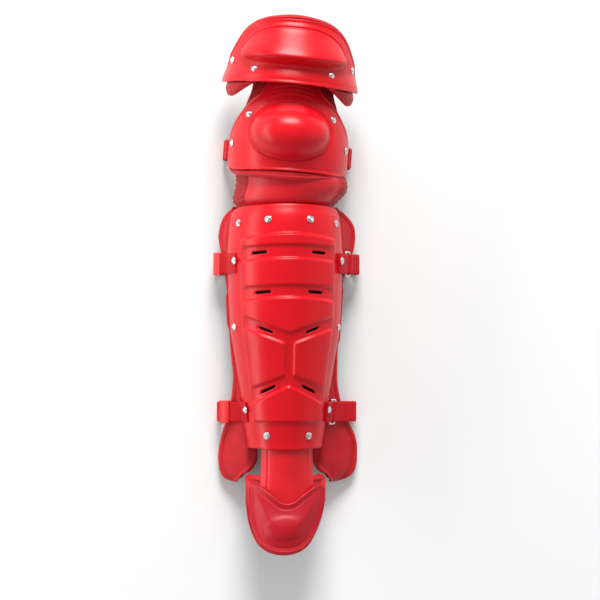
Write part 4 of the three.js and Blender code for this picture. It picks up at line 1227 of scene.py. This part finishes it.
def strap_track(share, edge, rivet_angle, side):
    angles = side * np.linspace(rivet_angle - STRAP_LEAD, 90, 7)
    points = list(shin(angles, share + edge, 0))
    crossings = [wing_at(np.array(place), side) for place in (share - STRAP_HALF, share, share + STRAP_HALF)]
    tip = max(crossing[0] for crossing in crossings)
    bend = crossings[1][2]

    def height_at(x):
        return max(wing_height(x, *crossing[2:]) for crossing in crossings)

    lowest = WEBBING + WEBBING_GAP
    slope = np.array([tip - bend, height_at(tip) - height_at(bend)])
    slope *= STRAP_SLACK / np.linalg.norm(slope)
    out, under = tip + slope[0], height_at(tip) + slope[1]
    way = [
        (bend + 1.5, height_at(bend) + WEBBING_GAP),
        (tip, height_at(tip) + WEBBING_GAP),
        (out, under + WEBBING_GAP),
        (out + STRAP_SLACK * 0.1, lerp(under, lowest, 0.55)),
        (out - STRAP_SLACK * 0.3, lerp(under, lowest, 0.86)),
        (out - STRAP_SLACK * 1.2, lowest),
    ]
    y = SHIN_LENGTH * (share + edge)
    points += [np.array([side * x, y, z]) for x, z in way]
    return np.array(points, float)


def track_lengths(track):
    first = -math.radians(STRAP_LEAD) * math.hypot(track[0][0], track[0][2] - EDGE_HEIGHT)
    steps = np.linalg.norm(np.diff(track, axis=0), axis=1)
    return first + np.concatenate([[0], np.cumsum(steps)])


# Points beside a track: each stop is a distance along it from the rivet and a height above it
def beside(track, stops, side):
    lengths = track_lengths(track)
    ahead = np.concatenate([track[1:], track[-1:]])
    behind = np.concatenate([track[:1], track[:-1]])
    way = ahead - behind
    outward = np.stack([-way[:, 2], np.zeros(len(way)), way[:, 0]], axis=-1) * side
    outward /= np.linalg.norm(outward, axis=1, keepdims=True)
    points = []
    for distance, height in stops:
        index = int(np.clip(np.searchsorted(lengths, distance, side="right"), 1, len(track) - 1))
        span = lengths[index] - lengths[index - 1]
        part = min(max((distance - lengths[index - 1]) / span, 0), 1)
        square = lerp(outward[index - 1], outward[index], part)
        square /= np.linalg.norm(square)
        points.append(lerp(track[index - 1], track[index], part) + square * height)
    return points


def folded_path(track, start, bar, end, side):
    way = 1 if bar > start else -1
    count = math.ceil(abs(bar - start) / 6)
    coming = [(lerp(start, bar, step / count), LAYER) for step in range(count)]
    foot_point, centre, ahead = beside(track, [(bar, 0), (bar, LAYER + BAR_ROOM), (bar + way, 0)], side)
    up = (centre - foot_point) / np.linalg.norm(centre - foot_point)
    forward = ahead - foot_point
    forward -= up * (forward @ up)
    forward /= np.linalg.norm(forward)
    loop = []
    for degrees in range(-90, 91, 30):
        turn = math.radians(degrees)
        loop.append(centre + forward * BAR_ROOM * math.cos(turn) + up * BAR_ROOM * math.sin(turn))
    settled = bar - way * 3.3 * BAR_ROOM
    leaving = [(lerp(bar, settled, 0.55), lerp(LAYER + 2 * BAR_ROOM, UPPER_LAYER, 0.55))]
    leaving += [(lerp(settled, end, step / 3), UPPER_LAYER) for step in range(4)]
    return beside(track, coming, side) + loop + beside(track, leaving, side)


# Smooth closely spaced points along the paths of a band's two edges
def refined(paths, spacing=1.6):
    low, high = (np.array(path) for path in paths)
    lengths = np.linalg.norm(np.diff(low, axis=0), axis=1)
    counts = [max(1, round(length / spacing)) for length in lengths]
    return refined_path(low, counts), refined_path(high, counts)


def refined_path(path, counts):
    before = np.concatenate([[2 * path[0] - path[1]], path[:-1]])
    after = np.concatenate([path[1:], [2 * path[-1] - path[-2]]])
    tangent = (after - before) / 2
    points = []
    for index, count in enumerate(counts):
        start, end = path[index], path[index + 1]
        length = np.linalg.norm(end - start)
        leave = tangent[index] * length / max(np.linalg.norm(tangent[index]), 1e-9)
        arrive = tangent[index + 1] * length / max(np.linalg.norm(tangent[index + 1]), 1e-9)
        for step in range(count):
            t = step / count
            points.append(
                (2 * t**3 - 3 * t**2 + 1) * start
                + (t**3 - 2 * t**2 + t) * leave
                + (3 * t**2 - 2 * t**3) * end
                + (t**3 - t**2) * arrive
            )
    points.append(path[-1])
    return np.array(points)


# A band of webbing between the paths of its two edges, a little crowned and with rounded selvages
def band(name, low, high, materials, thickness=WEBBING, matrix=None):
    across = np.linspace(0, 1, 13)
    grid = lerp(low[:, None], high[:, None], across[None, :, None])
    rows, columns = grid.shape[:2]
    way = np.gradient(grid, axis=0)
    width = np.broadcast_to((high - low)[:, None], grid.shape)
    square = np.cross(width, way)
    square /= np.maximum(np.linalg.norm(square, axis=2, keepdims=True), 1e-9)
    inner = np.clip(np.minimum(across, 1 - across) * WEBBING_WIDTH / 1.5, 0, 1) ** 0.5
    half = (thickness / 2 * (0.55 + 0.45 * inner))[None, :, None]
    length = np.concatenate([[0], np.cumsum(np.linalg.norm(np.diff(grid[:, 0], axis=0), axis=1))])
    u = np.broadcast_to(length[:, None], (rows, columns))
    v = np.broadcast_to(across * WEBBING_WIDTH, (rows, columns))
    uv = np.stack([u, v], axis=-1).reshape(-1, 2)
    front, back = (grid + square * half).reshape(-1, 3), (grid - square * half).reshape(-1, 3)
    faces = grid_faces(rows, columns)
    return wall(name, front, back, faces, materials, 0.4, 4, uv, matrix)


def tube(name, path, radius, material, sides=12):
    path = np.array(path)
    ahead, behind = np.roll(path, -1, axis=0), np.roll(path, 1, axis=0)
    way = ahead - behind
    way /= np.linalg.norm(way, axis=1, keepdims=True)
    flat = path - path.mean(axis=0)
    square = np.linalg.svd(flat)[2][-1]
    away = np.cross(way, square)
    away /= np.linalg.norm(away, axis=1, keepdims=True)
    turn = np.arange(sides) * 2 * math.pi / sides
    spoke = away[:, None] * np.cos(turn)[None, :, None] + square * np.sin(turn)[None, :, None]
    points = (path[:, None] + spoke * radius).reshape(-1, 3)
    faces = []
    for index in range(len(path)):
        following = (index + 1) % len(path)
        for side in range(sides):
            beside_it = (side + 1) % sides
            faces.append(
                (
                    index * sides + side,
                    following * sides + side,
                    following * sides + beside_it,
                    index * sides + beside_it,
                )
            )
    return new_mesh(name, points, faces, materials=[material])


def wire_ring(name, near, far):
    steps = 16
    up = near[1] - near[0] + far[1] - far[0]
    up /= np.linalg.norm(up)
    path = []
    for end in (1, 0):
        middle = (near[end] + far[end]) / 2
        spread_out = (near if end == 1 else far)[end] - middle
        for step in range(steps + 1):
            turn = math.pi * step / steps
            past = (1 if end == 1 else -1) * (0.62 * WIRE + RING_ROUND * math.sin(turn) ** 0.8)
            path.append(middle + spread_out * math.cos(turn) + up * past)
    return tube(name, path, WIRE / 2, chrome)


# A slide buckle: a plate with one long window, its edges rounded
def slide_buckle(name, top, bottom):
    room = WEBBING / 2 + WEBBING_GAP
    window = WEBBING_WIDTH / 2 + WEBBING_GAP
    outer_x, outer_y = room + BUCKLE_WALL, window + BUCKLE_WALL
    way = (bottom - top) / np.linalg.norm(bottom - top)
    width = np.array([0.0, 1.0, 0.0])
    flat = np.cross(width, way)
    middle = (top + bottom) / 2
    corners = []
    for x, y, round_off in ((outer_x, outer_y, 0.9), (room, window, 0.25)):
        ring = []
        for quarter, (sx, sy) in enumerate(((1, 1), (-1, 1), (-1, -1), (1, -1))):
            for step in range(5):
                turn = math.pi / 2 * (quarter + step / 4)
                centre_x, centre_y = sx * (x - round_off), sy * (y - round_off)
                ring.append((centre_x + round_off * math.cos(turn), centre_y + round_off * math.sin(turn)))
        corners.append(ring)
    count = len(corners[0])
    points, faces = [], []
    rings = []
    for share, ring, shrink in (
        (-0.5, 0, 0.5),
        (-0.47, 0, 0.0),
        (0.47, 0, 0.0),
        (0.5, 0, 0.5),
        (0.5, 1, 0.0),
        (-0.5, 1, 0.0),
    ):
        rings.append(len(points))
        for x, y in corners[ring]:
            x, y = x - math.copysign(shrink, x), y - math.copysign(shrink, y)
            points.append(middle + flat * x + width * y + way * share * BUCKLE_LENGTH)
    for order in range(len(rings)):
        here, there = rings[order], rings[(order + 1) % len(rings)]
        for step in range(count):
            following = (step + 1) % count
            faces.append((here + step, here + following, there + following, there + step))
    return new_mesh(name, points, faces, materials=[buckle_plastic])


for name, (share, angle) in CALF_STRAPS.items():
    to_shell_edge = math.radians(90 - angle) * SHIN_HALF_WIDTH * float(shin_size(share))
    edges = (-STRAP_HALF, STRAP_HALF)

    def tracks(side):
        return [strap_track(share, edge, angle, side) for edge in edges]

    def track_end(side):
        return min(track_lengths(track)[-1] for track in tracks(side)) - SEAM

    tip, _, bend, drop, reach = wing_at(np.array(share), -1)
    wing_drop = wing_height(bend, bend, drop, reach) - wing_height(tip, bend, drop, reach)
    to_tip = to_shell_edge + math.hypot(tip - bend, wing_drop)
    raised = LAYER + WEBBING_GAP + BUCKLE_WALL
    ends = [to_tip - 1 - BUCKLE_LENGTH / 2, to_tip - 1 + BUCKLE_LENGTH / 2]
    stops = [(-TAB_END, LAYER)] + [(step * TAB_TAIL, LAYER) for step in (1, 2, 3)] + [(to_shell_edge, LAYER)]
    stops += [(ends[0] - 1, raised), (ends[1] + 1, raised)]
    stops += [(lerp(ends[1] + 1, track_end(-1), part), LAYER) for part in (0.15, 0.3, 0.45, 0.6, 0.8, 1)]
    left = [beside(track, stops, -1) for track in tracks(-1)]

    near_bar = to_shell_edge - RING_TUCK
    far_bar = near_bar + RING_REACH
    tab = [folded_path(track, -TAB_END, near_bar, -TAB_END, 1) for track in tracks(1)]
    thing = band(f"anchor_tab_{name}_woven", *refined(tab), [strap_webbing])
    show(thing, [f"anchor_tab_{name}"])
    right = [folded_path(track, track_end(1), far_bar, far_bar + FOLD_LENGTH, 1) for track in tracks(1)]
    loop = []
    for path, other in zip(left, right):
        lying = [
            np.array([path[-1][0] + 2 * STRAP_SLACK, path[-1][1], WEBBING / 2]),
            np.array([other[0][0] - 2 * STRAP_SLACK, other[0][1], WEBBING / 2]),
        ]
        loop.append(path + lying + other)
    thing = band(f"calf_strap_{name}_woven", *refined(loop, 2.0), [strap_webbing])
    show(thing, [f"calf_strap_{name}"])
    bars = [beside(track, [(near_bar, LAYER + BAR_ROOM), (far_bar, LAYER + BAR_ROOM)], 1) for track in tracks(1)]
    ring = wire_ring(f"wire_ring_{name}_bent", (bars[0][0], bars[1][0]), (bars[0][1], bars[1][1]))
    show(ring, [f"wire_ring_{name}"])
    top, bottom = beside(strap_track(share, 0, angle, -1), [(end, raised) for end in ends], -1)
    thing = slide_buckle(f"slide_buckle_{name}_moulded", top, bottom)
    show(thing, [f"slide_buckle_{name}"])


# Knee strap, from under the edge of the knee padding along the surface that the guard lies on
def knee_strap_side(side, shift):
    y = KNEE_STRAP_PLACE * KNEE_BELOW + shift
    points = []
    for part, out in ((0, 0), (0.5, 0.1), (1, 0.21)):
        x = KNEE_HALF_WIDTH + LAYER + out * KNEE_STRAP_HANG
        points.append(np.array(KNEE_MATRIX @ Vector((side * x, y, EDGE_HEIGHT - part * KNEE_STRAP_HANG))))
    last = points[-1]
    for inward, part in ((0, 0.35), (0.33, 0.08), (1, 0)):
        x = last[0] - side * inward * KNEE_STRAP_TURN
        points.append(np.array([x, last[1], lerp(WEBBING / 2, last[2], part)]))
    return points


edges = []
for part in (-0.5, 0.5):
    left, right = (knee_strap_side(side, part * WEBBING_WIDTH) for side in (-1, 1))
    edges.append(left + right[::-1])
thing = band("knee_strap_woven", *refined(edges, 2.0), [strap_webbing])
show(thing, ["knee_strap"])


# Cap straps, from the shoulders of the knee cap up behind the thigh cap
def knee_shoulder(angle):
    round_leg = math.radians(angle) * KNEE_HALF_WIDTH
    y, past = 0.0, -1.0
    while past < KNEE_LIP + SEAM:
        y += 0.5
        away = math.hypot(round_leg, y)
        past = away - float(reach_to(inside_knee, np.array([[round_leg / away, y / away]]))[0])
    return y


def cap_strap(name, side):
    ends = CAP_STRAP_ANGLES if side > 0 else [-angle for angle in reversed(CAP_STRAP_ANGLES)]
    finish = KNEE_ABOVE + THIGH_TUCK + CAP_STRAP_HIDDEN
    across = np.linspace(0, 1, 13)
    angles = lerp(ends[0], ends[1], across)
    starts = np.array([knee_shoulder(abs(angle)) for angle in angles])
    up = np.linspace(0, 1, 40)[:, None]
    lift = WEBBING_GAP + WEBBING - PAD_INSET + cap_strap_rise * up * up
    y = lerp(starts[None], finish, up)
    round_leg = np.broadcast_to(radians(angles) * KNEE_HALF_WIDTH, y.shape)
    front = knee(round_leg, y, np.broadcast_to(lift, y.shape)).reshape(-1, 3)
    back = knee(round_leg, y, np.broadcast_to(lift - WEBBING, y.shape)).reshape(-1, 3)
    uv = np.stack([y, round_leg], axis=-1).reshape(-1, 2)
    faces = grid_faces(*y.shape)
    thing = wall(f"{name}_woven", front, back, faces, [strap_webbing], 0.4, 4, uv, KNEE_MATRIX)
    return show(thing, [name])


cap_strap_rise = THIGH_HALF_WIDTH * float(thigh_size(-1)) - KNEE_HALF_WIDTH * float(knee_size(1)) - CAP_STRAP_SUNK
cap_strap("cap_strap_left", -1)
cap_strap("cap_strap_right", 1)


# A rivet head: a low dome on a flange, with the small dimple of its tool
def rivet(name, point, outward):
    radius = RIVET_WIDTH / 2
    profile = [
        (radius * 0.96, 0),
        (radius, 0.25),
        (radius * 0.97, 0.5),
        (radius * 0.88, 0.72),
        (radius * 0.76, 1.15),
        (radius * 0.6, RIVET_HEIGHT * 0.7),
        (radius * 0.4, RIVET_HEIGHT * 0.9),
        (radius * 0.32, RIVET_HEIGHT),
        (radius * 0.24, RIVET_HEIGHT * 0.7),
        (0, RIVET_HEIGHT * 0.55),
    ]
    sides = 28
    outward = Vector(outward).normalized()
    turned = Vector((0, 0, 1)).rotation_difference(outward)
    base = Vector(point) + outward * RIVET_GAP
    points = [base]
    for reach, height in profile[:-1]:
        for side in range(sides):
            turn = 2 * math.pi * side / sides
            spoke = Vector((reach * math.cos(turn), reach * math.sin(turn), height))
            points.append(base + turned @ spoke)
    points.append(base + turned @ Vector((0, 0, profile[-1][1])))
    faces = []
    for side in range(sides):
        following = (side + 1) % sides
        faces.append((0, 1 + following, 1 + side))
        for ring in range(len(profile) - 2):
            here, there = 1 + ring * sides, 1 + (ring + 1) * sides
            faces.append((here + side, here + following, there + following, there + side))
        last = 1 + (len(profile) - 2) * sides
        faces.append((last + side, last + following, len(points) - 1))
    thing = new_mesh(f"{name}_domed", np.array(points), faces, materials=[chrome])
    return show(thing, [name])


def add_rivets(prefix, place, half, spots, matrix, lifts=(0, 0)):
    for spot, angle, y in spots:
        for side_name, side, lift in (("left", -1, lifts[0]), ("right", 1, lifts[1])):
            round_leg = side * math.radians(angle) * half
            point = np.array(place(round_leg, y, lift), float)
            across = place(round_leg + 0.5, y, 0) - place(round_leg - 0.5, y, 0)
            up = place(round_leg, y + 0.5, 0) - place(round_leg, y - 0.5, 0)
            outward = np.cross(across, up)
            world = matrix @ Vector(point)
            rivet(f"{prefix}_rivet_{spot}_{side_name}", world, matrix.to_3x3() @ Vector(outward))


def shin_surface(round_leg, y, lift):
    return shin(np.degrees(round_leg / SHIN_HALF_WIDTH), y / SHIN_LENGTH, -lift)


SHIN_SPOTS = [("top_outer", 59.5, 0.925), ("top_inner", 22, 0.938), ("middle", 70, 0.502), ("bottom", 31.5, 0.057)]
shin_spots = [(spot, angle, share * SHIN_LENGTH) for spot, angle, share in SHIN_SPOTS]
add_rivets("shin", shin_surface, SHIN_HALF_WIDTH, shin_spots, Matrix())
strap_spots = [(spot, angle, share * SHIN_LENGTH + TAB_RIVET_RISE) for spot, (share, angle) in CALF_STRAPS.items()]
strap_layer = WEBBING_GAP + WEBBING
add_rivets("strap", shin_surface, SHIN_HALF_WIDTH, strap_spots, Matrix(), (strap_layer, 2 * strap_layer))
knee_spots = [("upper", 48, KNEE_ABOVE * 0.3), ("lower", 71, KNEE_BELOW * -0.33)]
add_rivets("knee", knee, KNEE_HALF_WIDTH, knee_spots, KNEE_MATRIX)
thigh_spots = [("outer", 69, THIGH_BELOW * -0.4), ("inner", 36, THIGH_BELOW * -0.7)]
add_rivets("thigh", thigh, THIGH_HALF_WIDTH, thigh_spots, THIGH_MATRIX)

# Camera: straight above, turned a little about the guard's length, with a long lens
FRAME_WIDTH = 758
CAMERA_AWAY = 3500
CAMERA_TURN = 5.5
CAMERA_PITCH = 1
AIM = (16, 188.9, 75)


def aim_at(thing, place, target, up=(0, 1, 0)):
    back = (Vector(place) - Vector(target)).normalized()
    right = Vector(up).cross(back).normalized()
    turn = Matrix((right, back.cross(right), back)).transposed().to_4x4()
    world = to_world([place])[0]
    thing.matrix_world = Matrix.Translation(world) @ turn


def camera():
    data = bpy.data.cameras.new("camera")
    data.sensor_width = 36
    data.lens = 36 * CAMERA_AWAY / FRAME_WIDTH
    data.clip_end = 20
    thing = bpy.data.objects.new("camera", data)
    bpy.context.scene.collection.objects.link(thing)
    turn, pitch = math.radians(CAMERA_TURN), math.radians(CAMERA_PITCH)
    away = Vector((-math.sin(turn) * math.cos(pitch), -math.sin(pitch), math.cos(turn) * math.cos(pitch)))
    aim_at(thing, Vector(AIM) + away * CAMERA_AWAY, AIM)
    bpy.context.scene.camera = thing


# Soft light from a panel: its middle is given by two angles from straight up, towards +X and +Y
def panel_light(name, across, along, away, size, watts, shape="RECTANGLE", target=(0, 190, 60)):
    data = bpy.data.lights.new(name, "AREA")
    data.shape = shape
    data.size, data.size_y = size
    data.energy = watts
    thing = bpy.data.objects.new(name, data)
    bpy.context.scene.collection.objects.link(thing)
    way = Vector((math.tan(math.radians(across)), math.tan(math.radians(along)), 1)).normalized()
    aim_at(thing, Vector(target) + way * away, target)


def floor():
    material, shader = node_material("pale floor", (0.92, 0.92, 0.92), 0.85, Specular_IOR_Level=0.1)
    nodes = Nodes(material)
    place = nodes.add("ShaderNodeTexCoord").outputs["Object"]
    nodes.relief(nodes.noise(place, 60, 2), 0.0001, shader)
    side = 4.0
    mesh = bpy.data.meshes.new("floor")
    corners = [(-side, -side, 0), (side, -side, 0), (side, side, 0), (-side, side, 0)]
    mesh.from_pydata(corners, [], [(0, 1, 2, 3)])
    mesh.materials.append(material)
    thing = bpy.data.objects.new("floor", mesh)
    bpy.context.scene.collection.objects.link(thing)


def lighting():
    world = bpy.data.worlds.new("studio")
    bpy.context.scene.world = world
    world.use_nodes = True
    background = world.node_tree.nodes["Background"]
    background.inputs["Color"].default_value = (1, 1, 1, 1)
    background.inputs["Strength"].default_value = 0.38
    panel_light("left panel", -74, 0, 4000, (1.1, 6.3), 120)
    panel_light("right panel", 66, 0, 4000, (3.4, 6.3), 22)
    panel_light("top panel", 0, 60, 4000, (2.0, 1.9), 205, "ELLIPSE")


bpy.context.scene.view_settings.view_transform = "Standard"
camera()
floor()
lighting()
